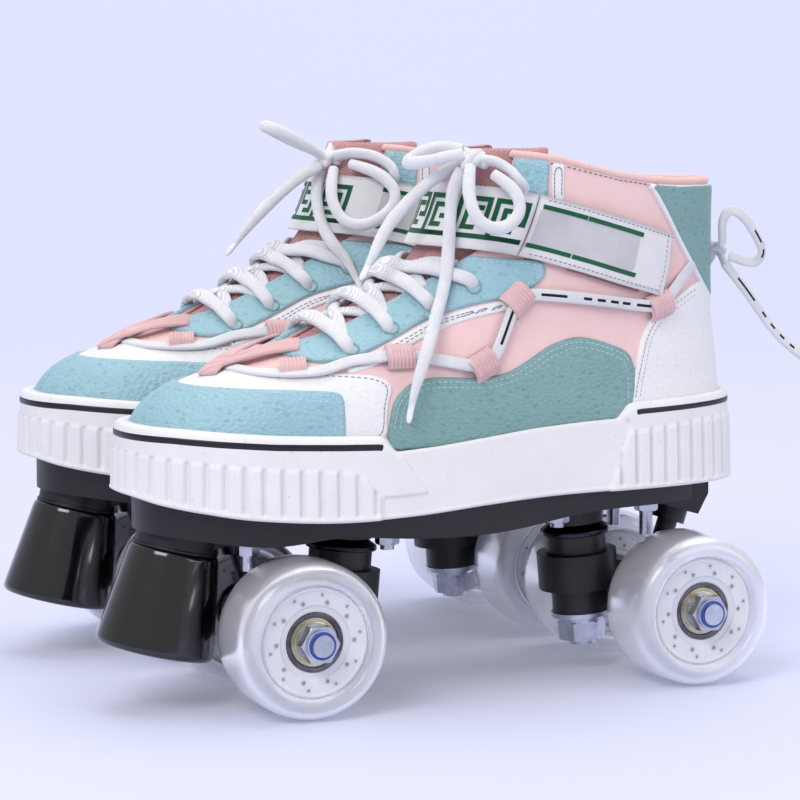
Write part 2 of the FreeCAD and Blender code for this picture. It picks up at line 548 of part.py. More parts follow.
DRAW_ENDS = {
    "loop_a": [(187.6, -8.4, 165.2), (185.4, -11.4, 171.2), (185.6, -12.4, 176.6), (189.5, -12.6, 179.4), (195.4, -12.4, 175.4),
               (200.4, -12.0, 168.8), (204.6, -10.8, 162.4), (202.8, -8.8, 157.6), (197.4, -7.4, 158.4), (192.6, -5.6, 160.4)],
    "tail_a": [(190.4, -5.0, 157.6), (196.4, -7.0, 150.0), (203.1, -8.0, 141.0), (210.4, -9.0, 131.0), (221.0, -9.0, 121.9), (232.2, -9.0, 115.9), (243.1, -8.0, 110.5)],
    "loop_b": [(188.0, 3.0, 165.6), (187.6, 8.6, 170.4), (190.0, 13.6, 171.4), (193.4, 18.0, 167.2), (195.6, 20.6, 161.0), (195.0, 20.4, 154.8),
               (192.4, 16.6, 152.0), (190.2, 11.0, 153.4), (189.2, 5.6, 156.6), (188.6, 1.8, 159.0)],
    "tail_b": [(185.6, 3.4, 159.4), (187.2, 10.6, 152.6), (189.0, 14.6, 143.6), (190.6, 16.0, 133.0), (192.4, 15.4, 122.2), (193.8, 13.6, 112.4), (195.2, 12.8, 102.6)],
}
# webbing loops that hold the drawcord: index of the run they sit on
LOOP_RUNS = [(2, 0.35), (6, 0.2), (9, 0.55), (11, 0.85), (13, 0.85)]


def lace_parts(side):
    out = []
    for i, (x, ye) in enumerate(EYELETS):
        pts = []
        for k, dx in ((-1.0, 0.0), (-0.70, 0.54), (-0.32, 1.0), (0.36, 0.96), (0.72, 0.46), (1.0, 0.0)):
            y = ye * k
            xx = x - BAR_DIP[i] * dx
            pts.append((xx, y * 1.02, top_z(xx, y) + (1.6 if abs(k) == 1.0 else LACE_D / 2.0 + 2.2) / 0.84))
        out.append(cord_tube(pts, LACE_D, "%s lace bar %d" % (side, i)))
    kx, ky, kz = KNOT[side]
    knot = Part.makeSphere(4.4, V(0, 0, 0))
    m = FreeCAD.Matrix()
    m.scale(1.0, 1.15, 0.9)
    knot = knot.transformGeometry(m)
    knot.translate(V(kx, ky, kz))
    out.append(knot)
    cx, cy, cz = COLLAR_EYELET
    if side == "left":
        out.append(cord_tube([(cx, -cy - 1.6, cz + 1.1), (87.0, -33.8, 192.6), (84.6, -31.0, 196.0), (80.6, -26.4, 199.4)], LACE_D, "left collar strand"))
    else:
        out.append(cord_tube([(cx, cy + 1.6, cz), (88.2, 31.6, 195.0), (83.6, 26.4, 198.4), (77.4, 18.0, 199.2), (73.6, 13.4, 199.6)], LACE_D, "right collar strand"))
    return out


def lace_end_parts(side):
    return [cord_tube(p, LACE_D, "%s %s" % (side, n)) for n, p in LACE_ENDS[side].items()]


def drawcord_parts():
    a = [(x, -y, z) for x, y, z in DRAW_SIDE]
    b = list(reversed(DRAW_SIDE))
    out = [cord_tube(a + b, CORD_D, "drawcord")]
    k = Part.makeSphere(3.8, V(*DRAW_KNOT))
    out.append(k)
    out.append(cord_tube([(182.6, -3.0, 163.8), (184.2, -3.4, 163.6)], CORD_D, "heel stub") if False else cyl(1.8, 2.2, (181.7, -3.0, 162.6), (1, 0, 0)))
    return out


def drawcord_end_parts():
    return [cord_tube(p, CORD_D, "drawcord " + n) for n, p in DRAW_ENDS.items()]


def cord_loop_parts():
    """Ribbed webbing loops, as flat sleeves round the drawcord."""
    out = []
    for sgn in (-1, 1):
        P = [V(x, sgn * y, z) for x, y, z in DRAW_SIDE]
        for i, t in LOOP_RUNS:
            a, b = P[i], P[i + 1]
            d = b - a
            d.normalize()
            c = a + (b - a) * t
            s = Part.makeCylinder(2.6, 8.0, c - d * 4.0, d)
            s = s.cut(Part.makeCylinder(1.85, 12.0, c - d * 6.0, d))
            out += solids(s)
    return out


# ---- assembly --------------------------------------------------------------------------------
def place(s, right):
    if right:
        s = s.mirror(V(0, 0, 0), V(0, 1, 0))
        s.translate(V(X_SHIFT + RIGHT_SHIFT, PAIR_SPACING / 2.0, 0))
    else:
        s = s.copy()
        s.translate(V(X_SHIFT, -PAIR_SPACING / 2.0, 0))
    return s


def main():
    nodes = {}
    for x, nm, inboard in ((0.0, "front", 1), (WHEELBASE, "rear", -1)):
        for side, sn in ((-1, "outer"), (1, "inner")):
            nodes["%s_%s_wheel" % (nm, sn)] = wheel(x, side, True)
            nodes["%s_%s_bearings" % (nm, sn)] = bearings(x, side)
        nodes[nm + "_hanger"] = truck(x, inboard)
        nodes[nm + "_axle_set"] = axle_set(x)
    nodes["kingpins"] = kingpin(0.0, 1) + kingpin(WHEELBASE, -1)
    nodes["cushions"] = cushions(0.0, 1) + cushions(WHEELBASE, -1)
    nodes["pivot_cups"] = pivot_cup(0.0, 1) + pivot_cup(WHEELBASE, -1)
    nodes["baseplate"] = baseplate()
    nodes["mounting_bolts"] = bolts()
    nodes["toe_stop"] = toe_stop()
    nodes["toe_stop_bolt"] = toe_stop_bolt()
    closed, outer, grown, shell, tongue, panels, counter = boot_parts()
    nodes["outsole"] = outsole(outer)
    sole = nodes["outsole"][0]
    nodes["boot_shell"] = shell
    nodes["tongue"] = tongue
    nodes["leather_overlays"] = [q for p in panels + counter for q in p.cut(sole).Solids if q.Volume > 1.0]
    nodes["ankle_strap"], nodes["strap_flap"] = straps()
    nodes["drawcord"] = drawcord_parts()
    nodes["drawcord_ends"] = drawcord_end_parts()
    nodes["cord_loops"] = cord_loop_parts()
    total = None
    for side, right in (("left", False), ("right", True)):
        nodes["lace"] = lace_parts(side)
        nodes["lace_ends"] = lace_end_parts(side)
        for name, parts in nodes.items():
            placed = [place(p, right) for p in parts]
            shape = placed[0] if len(placed) == 1 else Part.makeCompound(placed)
            if not right:
                bad = [i for i, p in enumerate(parts) if not p.isValid()]
                bb = shape.BoundBox
                print("%-20s solids %2d vol %9.1f  x %.1f..%.1f y %.1f..%.1f z %.1f..%.1f %s" % (
                    name, len(shape.Solids), shape.Volume, bb.XMin, bb.XMax, bb.YMin, bb.YMax, bb.ZMin, bb.ZMax, "BAD %s" % bad if bad else ""))
            shape.exportStep("parts/%s_%s.step" % (side, name))
            if "lace" not in name and "cord" not in name:
                b = shape.BoundBox
                total = b if total is None else total.united(b)
    print("box", total)


main()
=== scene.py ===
import math

import bpy
import numpy as np
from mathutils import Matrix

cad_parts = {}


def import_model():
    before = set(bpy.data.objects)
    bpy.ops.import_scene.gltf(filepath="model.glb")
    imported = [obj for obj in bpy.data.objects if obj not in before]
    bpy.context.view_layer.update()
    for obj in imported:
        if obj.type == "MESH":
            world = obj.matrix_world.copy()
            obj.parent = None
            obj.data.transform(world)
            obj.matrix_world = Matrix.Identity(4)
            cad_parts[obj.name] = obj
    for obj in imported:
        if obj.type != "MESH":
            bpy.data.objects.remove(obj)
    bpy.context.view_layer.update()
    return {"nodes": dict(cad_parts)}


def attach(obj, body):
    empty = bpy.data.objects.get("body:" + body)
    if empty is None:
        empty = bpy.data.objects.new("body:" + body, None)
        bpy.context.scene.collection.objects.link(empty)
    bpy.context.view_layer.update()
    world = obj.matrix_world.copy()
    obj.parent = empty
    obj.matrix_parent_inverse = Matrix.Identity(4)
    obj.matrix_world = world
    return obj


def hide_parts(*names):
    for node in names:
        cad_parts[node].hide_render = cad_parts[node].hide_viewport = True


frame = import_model()
NODES = frame["nodes"]
SIDES = (("left", False), ("right", True))

# ------------------------------------------------------------------ boot form (mm, skate's own frame)
LEVELS = np.array([
    (84.0, -52.5, 185.5, 44.0, 42.0, 2.30, 2.5, 3.0), (92.0, -52.0, 185.6, 44.0, 42.0, 2.30, 2.5, 3.0),
    (100.0, -51.0, 185.5, 45.0, 42.2, 2.28, 2.5, 2.6), (106.0, -48.7, 185.3, 46.0, 42.0, 2.25, 2.5, 2.2),
    (112.0, -43.5, 184.8, 49.0, 41.3, 2.22, 2.45, 1.8), (118.0, -32.5, 184.3, 55.0, 40.2, 2.20, 2.4, 1.4),
    (124.0, -14.5, 183.7, 64.0, 38.8, 2.18, 2.4, 1.0), (130.0, 1.5, 183.0, 73.0, 37.3, 2.15, 2.35, 0.6),
    (137.0, 17.0, 182.3, 83.0, 35.8, 2.12, 2.3, 0.3), (145.0, 32.5, 181.7, 94.0, 34.5, 2.10, 2.3, 0.0),
    (152.0, 44.0, 181.3, 102.0, 33.7, 2.10, 2.25, 0.0), (158.0, 52.5, 181.0, 108.0, 33.1, 2.10, 2.25, 0.0),
    (166.0, 60.5, 180.8, 112.0, 32.6, 2.10, 2.25, 0.0), (176.0, 66.0, 180.8, 116.0, 32.3, 2.10, 2.25, 0.0),
    (190.0, 71.0, 181.2, 120.0, 32.4, 2.10, 2.25, 0.0), (207.0, 76.0, 182.4, 124.0, 33.2, 2.10, 2.25, 0.0)])
LZ, LP = LEVELS[:, 0], LEVELS[:, 1:]


def slopes(x, y):
    h = np.diff(x)[:, None]
    d = np.diff(y, axis=0) / h
    m = np.zeros_like(y)
    w1, w2 = 2 * h[1:] + h[:-1], h[1:] + 2 * h[:-1]
    ok = d[:-1] * d[1:] > 1e-12
    a, b = np.where(ok, d[:-1], 1.0), np.where(ok, d[1:], 1.0)
    m[1:-1] = np.where(ok, (w1 + w2) / (w1 / a + w2 / b), 0.0)
    m[0], m[-1] = d[0], d[-1]
    return m


LM = slopes(LZ, LP)


def lev(z):
    z = np.clip(np.asarray(z, float), LZ[0], LZ[-1])
    i = np.clip(np.searchsorted(LZ, z) - 1, 0, len(LZ) - 2)
    h = LZ[i + 1] - LZ[i]
    t = ((z - LZ[i]) / h)[..., None]
    h = h[..., None]
    return ((2 * t**3 - 3 * t**2 + 1) * LP[i] + (t**3 - 2 * t**2 + t) * h * LM[i]
            + (3 * t**2 - 2 * t**3) * LP[i + 1] + (t**3 - t**2) * h * LM[i + 1])


def surf(u, z, off=0.0):
    u, z = np.broadcast_arrays(np.asarray(u, float), np.asarray(z, float))
    p = lev(z)
    xf, xb, xc, w, nf, nb, wa = (p[..., k] for k in range(7))
    a = 2 * np.pi * u
    c, s = np.cos(a), np.sin(a)
    n = np.where(c > 0, nf, nb)
    ac = np.abs(c) ** (2.0 / n)
    x = np.where(c > 0, xc - (xc - xf + off) * ac, xc + (xb - xc + off) * ac)
    y = (w + off) * np.abs(s) ** (2.0 / n)
    y = np.maximum(0.0, y - wa * np.exp(-(((x - 98.0) / 34.0) ** 2)) * np.minimum(1.0, y / 20.0))
    return np.stack([x, np.where(s > 0, -y, y), z], -1)


def unit(v):
    return v / np.maximum(np.linalg.norm(v, axis=-1, keepdims=True), 1e-12)


def normal(u, z):
    e = 1.5e-3
    du = surf(u + e, z) - surf(u - e, z)
    dz = surf(u, z + 0.6) - surf(u, z - 0.6)
    return unit(np.cross(du, dz))


def on(u, z, h=0.0):
    return surf(u, z) + normal(u, z) * np.asarray(h, float)[..., None]


def u_of(x, z, side):
    """side -1: lateral half; +1: medial half."""
    p = lev(z)
    xf, xb, xc, nf, nb = p[..., 0], p[..., 1], p[..., 2], p[..., 4], p[..., 5]
    x = np.asarray(x, float)
    f = np.clip((xc - x) / (xc - xf), 0, 1) ** (nf / 2)
    b = np.clip((x - xc) / (xb - xc), 0, 1) ** (nb / 2)
    c = np.where(x < xc, f, -b)
    u = np.arccos(np.clip(c, -1, 1)) / (2 * np.pi)
    return np.where(np.asarray(side) < 0, u, 1 - u)


# ------------------------------------------------------------------ mesh helpers
def world(P, right):
    P = np.asarray(P, float).reshape(-1, 3)
    if right:
        return np.c_[P[:, 0] - 62.81, 59.5 - P[:, 1], P[:, 2]] / 1000.0
    return np.c_[P[:, 0] - 61.81, P[:, 1] - 59.5, P[:, 2]] / 1000.0


def build(name, V, F, mats, smooth=True, mi=None, sharp=None):
    """Object from world vertices V and a list of index arrays F."""
    me = bpy.data.meshes.new(name)
    V = np.asarray(V, float)
    me.vertices.add(len(V))
    me.vertices.foreach_set("co", V.astype(np.float32).ravel())
    F = [np.asarray(f, np.int32) for f in F if len(f)]
    idx = np.concatenate([f.ravel() for f in F])
    tot = np.concatenate([np.full(len(f), f.shape[1], np.int32) for f in F])
    me.loops.add(len(idx))
    me.loops.foreach_set("vertex_index", idx)
    me.polygons.add(len(tot))
    me.polygons.foreach_set("loop_start", np.r_[0, np.cumsum(tot)[:-1]].astype(np.int32))
    me.polygons.foreach_set("loop_total", tot)
    me.polygons.foreach_set("use_smooth", np.full(len(tot), smooth))
    for m in (mats if isinstance(mats, (list, tuple)) else [mats]):
        me.materials.append(m)
    if mi is not None:
        me.polygons.foreach_set("material_index", np.asarray(mi, np.int32))
    me.update(calc_edges=True)
    me.validate()
    if sharp:
        me.set_sharp_from_angle(angle=math.radians(sharp))
    o = bpy.data.objects.new(name, me)
    bpy.context.scene.collection.objects.link(o)
    return o


def flip(F):
    return [np.asarray(f)[:, ::-1] for f in F if len(f)]


def join(gs):
    V, F, n = [], [], 0
    for v, f in gs:
        V.append(np.asarray(v, float).reshape(-1, 3))
        F += [np.asarray(q) + n for q in f if len(q)]
        n += len(V[-1])
    k3 = [f for f in F if f.shape[1] == 3]
    k4 = [f for f in F if f.shape[1] == 4]
    return np.vstack(V), [np.vstack(k) for k in (k3, k4) if k]


def both(name, g, mat, body="chassis", replaces=(), smooth=True, sharp=None, right=None):
    """One piece per skate from geometry in the skate's own frame."""
    out = {}
    for s, r in SIDES:
        if right is not None and r != right:
            continue
        V, F = g
        o = build(f"{s}_{name}", world(V, r), flip(F) if r else F, mat, smooth, None, sharp)
        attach(o, f"{s}_{body}")
        if replaces:
            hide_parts(*[f"{s}_{n}" for n in replaces])
        out[s] = o
    return out


def quads(nr, nc, wrap_c=False, wrap_r=False):
    i = np.arange(nr if wrap_r else nr - 1)[:, None]
    j = np.arange(nc if wrap_c else nc - 1)[None]
    a = i * nc + j
    b = i * nc + (j + 1) % nc
    c = ((i + 1) % nr) * nc + (j + 1) % nc
    d = ((i + 1) % nr) * nc + j
    return np.stack([a, b, c, d], -1).reshape(-1, 4)


def resample(P, step, closed=False):
    P = np.asarray(P, float)
    if closed:
        P = np.vstack([P, P[:1]])
    L = np.r_[0, np.cumsum(np.linalg.norm(np.diff(P, axis=0), axis=1))]
    n = max(2, int(round(L[-1] / step)) + 1)
    t = np.linspace(0, L[-1], n)
    out = np.stack([np.interp(t, L, P[:, k]) for k in range(P.shape[1])], -1)
    return out[:-1] if closed else out


def smooth_path(P, n=12, closed=False):
    """Centripetal-like Catmull-Rom through points."""
    P = np.asarray(P, float)
    Q = np.vstack([P[-1], P, P[:2]]) if closed else np.vstack([2 * P[0] - P[1], P, 2 * P[-1] - P[-2]])
    out = []
    for i in range(len(Q) - 3):
        p0, p1, p2, p3 = Q[i:i + 4]
        t = np.linspace(0, 1, n, endpoint=False)[:, None]
        out.append(0.5 * (2 * p1 + (p2 - p0) * t + (2 * p0 - 5 * p1 + 4 * p2 - p3) * t**2 + (3 * p1 - p0 - 3 * p2 + p3) * t**3))
    out = np.vstack(out)
    return out if closed else np.vstack([out, P[-1]])


def tangents(P, closed=False):
    if closed:
        return unit(np.roll(P, -1, 0) - np.roll(P, 1, 0))
    return unit(np.gradient(P, axis=0))


def sweep(P, N, prof, closed=False, scale=None, cap=True):
    """prof (k,2): first across, second along the normal."""
    P, N = np.asarray(P, float), np.asarray(N, float)
    T = tangents(P, closed)
    B = unit(np.cross(T, N))
    M = np.cross(B, T)
    sc = np.ones(len(P)) if scale is None else np.asarray(scale)
    V = (P[:, None] + sc[:, None, None] * (prof[None, :, :1] * B[:, None] + prof[None, :, 1:] * M[:, None]))
    n, k = V.shape[:2]
    F = [quads(n, k, True, closed)[:, ::-1]]
    V = V.reshape(-1, 3)
    if cap and not closed:
        # rounded end: one smaller ring and a centre
        ends = []
        for e, sgn in ((0, -1), (n - 1, 1)):
            base = e * k
            c = P[e]
            r = V[base:base + k]
            depth = np.min(np.ptp(prof, axis=0)) * 0.5 * sc[e]
            r2 = c + (r - c) * 0.72 + T[e] * sgn * depth * 0.6
            c2 = c + T[e] * sgn * depth
            o = len(V)
            V = np.vstack([V, r2, c2[None]])
            i = np.arange(k)
            j = (i + 1) % k
            q = np.stack([base + i, base + j, o + j, o + i], -1)
            t = np.stack([o + i, o + j, np.full(k, o + k)], -1)
            if sgn < 0:
                ends += [q, t]
            else:
                ends += [q[:, ::-1], t[:, ::-1]]
        F += ends
    return V, F


def oval(w, h, k=14, p=2.4):
    a = np.linspace(0, 2 * np.pi, k, endpoint=False)
    c, s = np.cos(a), np.sin(a)
    return np.stack([w / 2 * np.sign(c) * np.abs(c) ** (2 / p), h / 2 * np.sign(s) * np.abs(s) ** (2 / p)], -1)


def min_twist(P):
    T = tangents(P)
    n = np.cross(T[0], (0, 1, 0) if abs(T[0][1]) < 0.9 else (1, 0, 0))
    out = []
    for t in T:
        n = n - t * np.dot(n, t)
        n = n / max(np.linalg.norm(n), 1e-9)
        out.append(n)
    return np.array(out)


def lathe(prof, x, z, n=96, y0=0.0, sgn=1.0, closed=True):
    """Turn (y, r) points about the Y line through (x, z)."""
    prof = np.asarray(prof, float)
    a = np.linspace(0, 2 * np.pi, n, endpoint=False)
    y = y0 + sgn * prof[:, 0]
    V = np.stack([x + np.outer(np.cos(a), prof[:, 1]), np.broadcast_to(y, (n, len(y))), z + np.outer(np.sin(a), prof[:, 1])], -1)
    F = quads(n, len(prof), closed, True)
    # outward orientation for a profile listed from +y to -y
    if sgn < 0:
        F = F[:, ::-1]
    return V.reshape(-1, 3), [F]


def fillet(prof, r=0.4, n=3, closed=True):
    """Round each corner of an open or closed polyline."""
    P = np.asarray(prof, float)
    out = []
    m = len(P)
    for i in range(m):
        if not closed and i in (0, m - 1):
            out.append(P[i])
            continue
        a, b, c = P[i - 1], P[i], P[(i + 1) % m]
        la, lc = np.linalg.norm(a - b), np.linalg.norm(c - b)
        d = min(r, la * 0.45, lc * 0.45)
        if d < 1e-3 or abs(np.cross((a - b) / la, (c - b) / lc)) < 0.05:
            out.append(b)
            continue
        p, q = b + (a - b) / la * d, b + (c - b) / lc * d
        for k in range(n + 1):
            t = k / n
            out.append((1 - t) ** 2 * p + 2 * t * (1 - t) * b + t * t * q)
    return np.array(out)


# ------------------------------------------------------------------ patches of the boot form
def soft_poly(pts, it=3):
    P = np.asarray(pts, float)
    for _ in range(it):
        Q = np.roll(P, -1, 0)
        P = np.stack([0.8 * P + 0.2 * Q, 0.2 * P + 0.8 * Q], 1).reshape(-1, 2)
    return P


def sd_poly(x, z, P):
    """Signed distance to a closed polygon, positive inside."""
    q = np.stack([x, z], -1)
    best = np.full(x.shape, 1e9)
    inside = np.zeros(x.shape, bool)
    Q = np.roll(P, -1, 0)
    for a, b in zip(P, Q):
        d = b - a
        t = np.clip(((q - a) @ d) / max(d @ d, 1e-12), 0, 1)
        best = np.minimum(best, np.linalg.norm(q - a - t[..., None] * d, axis=-1))
        cr = ((a[1] > z) != (b[1] > z)) & (x < (b[0] - a[0]) * (z - a[1]) / (b[1] - a[1] + 1e-15) + a[0])
        inside ^= cr
    return np.where(inside, best, -best)


def uz_grid(u0, u1, z0, z1, du=1.0 / 420, dz=1.1):
    nu = max(3, int(round((u1 - u0) / du)) + 1)
    nz = max(3, int(round((z1 - z0) / dz)) + 1)
    U, Z = np.meshgrid(np.linspace(u0, u1, nu), np.linspace(z0, z1, nz))
    q = quads(nz, nu)
    return np.stack([U.ravel(), Z.ravel()], -1), np.vstack([q[:, [0, 1, 2]], q[:, [0, 2, 3]]])


def true_dist(field, UZ):
    """Field value divided by its slope on the surface: near 0 it is the distance."""
    u, z = UZ[:, 0], UZ[:, 1]
    f = lambda a, b: field(a, b)
    e, g = 8e-4, 0.35
    P = lambda a, b: surf(a, b)
    fu = (f(u + e, z) - f(u - e, z)) / (2 * e)
    fz = (f(u, z + g) - f(u, z - g)) / (2 * g)
    Su = (P(u + e, z) - P(u - e, z)) / (2 * e)
    Sz = (P(u, z + g) - P(u, z - g)) / (2 * g)
    E, Fm, G = (Su * Su).sum(-1), (Su * Sz).sum(-1), (Sz * Sz).sum(-1)
    det = np.maximum(E * G - Fm**2, 1e-9)
    g2 = (G * fu**2 - 2 * Fm * fu * fz + E * fz**2) / det
    return f(u, z) / np.clip(np.sqrt(np.maximum(g2, 0)), 0.25, 4.0)


def split(A, T, col, level, drop=False):
    """Cut triangles along A[:, col] = level; drop what is below it if asked."""
    d = A[:, col] - level
    d = np.where(np.abs(d) < 1e-5, 1e-5, d)
    pos = d > 0
    s = pos[T].sum(1)
    keep = T[s == 3] if drop else T[(s == 3) | (s == 0)]
    mix = T[(s == 1) | (s == 2)]
    if len(mix) == 0:
        return A, keep
    ms = pos[mix].sum(1)
    odd = np.where((ms == 1)[:, None], pos[mix], ~pos[mix]).argmax(1)
    r = np.arange(len(mix))
    a, b, c = mix[r, odd], mix[r, (odd + 1) % 3], mix[r, (odd + 2) % 3]
    E = np.sort(np.vstack([np.stack([a, b], -1), np.stack([a, c], -1)]), 1)
    Eu, inv = np.unique(E, axis=0, return_inverse=True)
    inv = inv.ravel()
    t = d[Eu[:, 0]] / (d[Eu[:, 0]] - d[Eu[:, 1]])
    N = A[Eu[:, 0]] + (A[Eu[:, 1]] - A[Eu[:, 0]]) * t[:, None]
    N[:, col] = level
    p, q = len(A) + inv[:len(a)], len(A) + inv[len(a):]
    tip = np.stack([a, p, q], -1)
    rest = np.vstack([np.stack([p, b, c], -1), np.stack([p, c, q], -1)])
    if drop:
        one = ms == 1
        two = np.r_[~one, ~one]
        new = np.vstack([tip[one], rest[two]])
    else:
        new = np.vstack([tip, rest])
    return np.vstack([A, N]), np.vstack([keep, new])


def compact(A, T):
    used, inv = np.unique(T, return_inverse=True)
    return A[used], inv.reshape(T.shape)


def border(T):
    E = np.vstack([T[:, [0, 1]], T[:, [1, 2]], T[:, [2, 0]]])
    S = np.sort(E, 1)
    _, inv, cnt = np.unique(S, axis=0, return_inverse=True, return_counts=True)
    return E[cnt[inv.ravel()] == 1]


def isoline(A, T, col, level):
    """Polylines of (u, z) where column col equals level."""
    d = A[:, col] - level
    pos = d > 0
    s = pos[T].sum(1)
    mix = T[(s == 1) | (s == 2)]
    segs = {}
    pts = {}
    for tri in mix:
        ks = []
        for i in range(3):
            a, b = int(tri[i]), int(tri[(i + 1) % 3])
            if pos[a] != pos[b]:
                k = (min(a, b), max(a, b))
                if k not in pts:
                    t = d[k[0]] / (d[k[0]] - d[k[1]])
                    pts[k] = A[k[0], :2] + (A[k[1], :2] - A[k[0], :2]) * t
                ks.append(k)
        segs.setdefault(ks[0], []).append(ks[1])
        segs.setdefault(ks[1], []).append(ks[0])
    lines, seen = [], set()
    starts = [k for k, v in segs.items() if len(v) == 1] + list(segs)
    for st in starts:
        if st in seen:
            continue
        line, cur = [st], st
        seen.add(st)
        while True:
            nx = [k for k in segs[cur] if k not in seen]
            if not nx:
                break
            cur = nx[0]
            seen.add(cur)
            line.append(cur)
        if len(line) > 4:
            lines.append(np.array([pts[k] for k in line]))
    return lines


def patch(field, T=1.2, r=1.1, h0=0.0, u=(0.0, 1.0), z=(96.0, 206.0), du=1.0 / 420, dz=1.1, sink=0.7, want=False, puff=0.0):
    A, F = uz_grid(u[0], u[1], z[0], z[1], du, dz)
    f0 = field(A[:, 0], A[:, 1])
    near = (f0[F] > -4.0).any(1)
    A, F = compact(A, F[near])
    A = np.c_[A, true_dist(field, A)]
    full = (A, F)
    A, F = split(A, F, 2, 0.0, True)
    for l in (0.1 * r, 0.35 * r, r):
        A, F = split(A, F, 2, l)
    A, F = compact(A, F)
    t = np.clip(A[:, 2] / r, 0, 1)
    h = h0 + T * np.sqrt(np.maximum(0.0, 1 - (1 - t) ** 2)) - 0.25 * (1 - t) ** 4
    if puff:
        h = h + puff * (1 - np.exp(-np.maximum(A[:, 2], 0) / 6.0))
    top = on(A[:, 0], A[:, 1], h)
    bot = on(A[:, 0], A[:, 1], h0 * 0.0 - sink + 0 * h)
    n = len(A)
    b = border(F)
    G = (np.vstack([top, bot]), [F, F[:, ::-1] + n, np.stack([b[:, 1], b[:, 0], b[:, 0] + n, b[:, 1] + n], -1)])
    return (G, full) if want else G


def stitches(full, level, h, step=2.35, length=1.55, rad=0.24, keep=None):
    """Thread stitches along the line at that distance inside a panel's edge."""
    gs = []
    base = np.array([(-1, 0, 0), (-0.72, 0.75, 0), (-0.72, -0.75, 0), (-0.72, 0, 0.9), (0.72, 0.75, 0), (0.72, -0.75, 0), (0.72, 0, 0.9), (1, 0, 0),
                     (-0.72, 0, -0.8), (0.72, 0, -0.8)])
    tri = [(0, 3, 1), (0, 2, 3), (0, 8, 2), (0, 1, 8), (7, 4, 6), (7, 6, 5), (7, 5, 9), (7, 9, 4)]
    quad = [(1, 3, 6, 4), (3, 2, 5, 6), (2, 8, 9, 5), (8, 1, 4, 9)]
    A, F = full
    for line in isoline(A, F, 2, level):
        P = on(line[:, 0], line[:, 1], np.full(len(line), h))
        Q = resample(np.c_[P, line], step)
        if len(Q) < 3:
            continue
        # smooth the line a little
        for _ in range(2):
            Q[1:-1] = 0.25 * Q[:-2] + 0.5 * Q[1:-1] + 0.25 * Q[2:]
        X = Q[:, :3]
        T = tangents(X)
        N = normal(Q[:, 3], Q[:, 4])
        B = unit(np.cross(N, T))
        ok = np.ones(len(X), bool) if keep is None else keep(X)
        for p, t, n, b in zip(X[ok], T[ok], N[ok], B[ok]):
            v = p + base[:, :1] * t * length / 2 + base[:, 1:2] * b * rad + base[:, 2:] * n * rad
            gs.append((v, [np.array(tri), np.array(quad)]))
    if not gs:
        return np.zeros((0, 3)), []
    n = len(base)
    m = len(gs)
    V = np.vstack([g[0] for g in gs])
    off = (np.arange(m) * n)[:, None, None]
    return V, [(np.array(tri)[None] + off).reshape(-1, 3), (np.array(quad)[None] + off).reshape(-1, 4)]


# ------------------------------------------------------------------ materials
def srgb(r, g, b):
    return tuple((c / 255 / 12.92 if c / 255 <= 0.04045 else ((c / 255 + 0.055) / 1.055) ** 2.4) for c in (r, g, b)) + (1.0,)


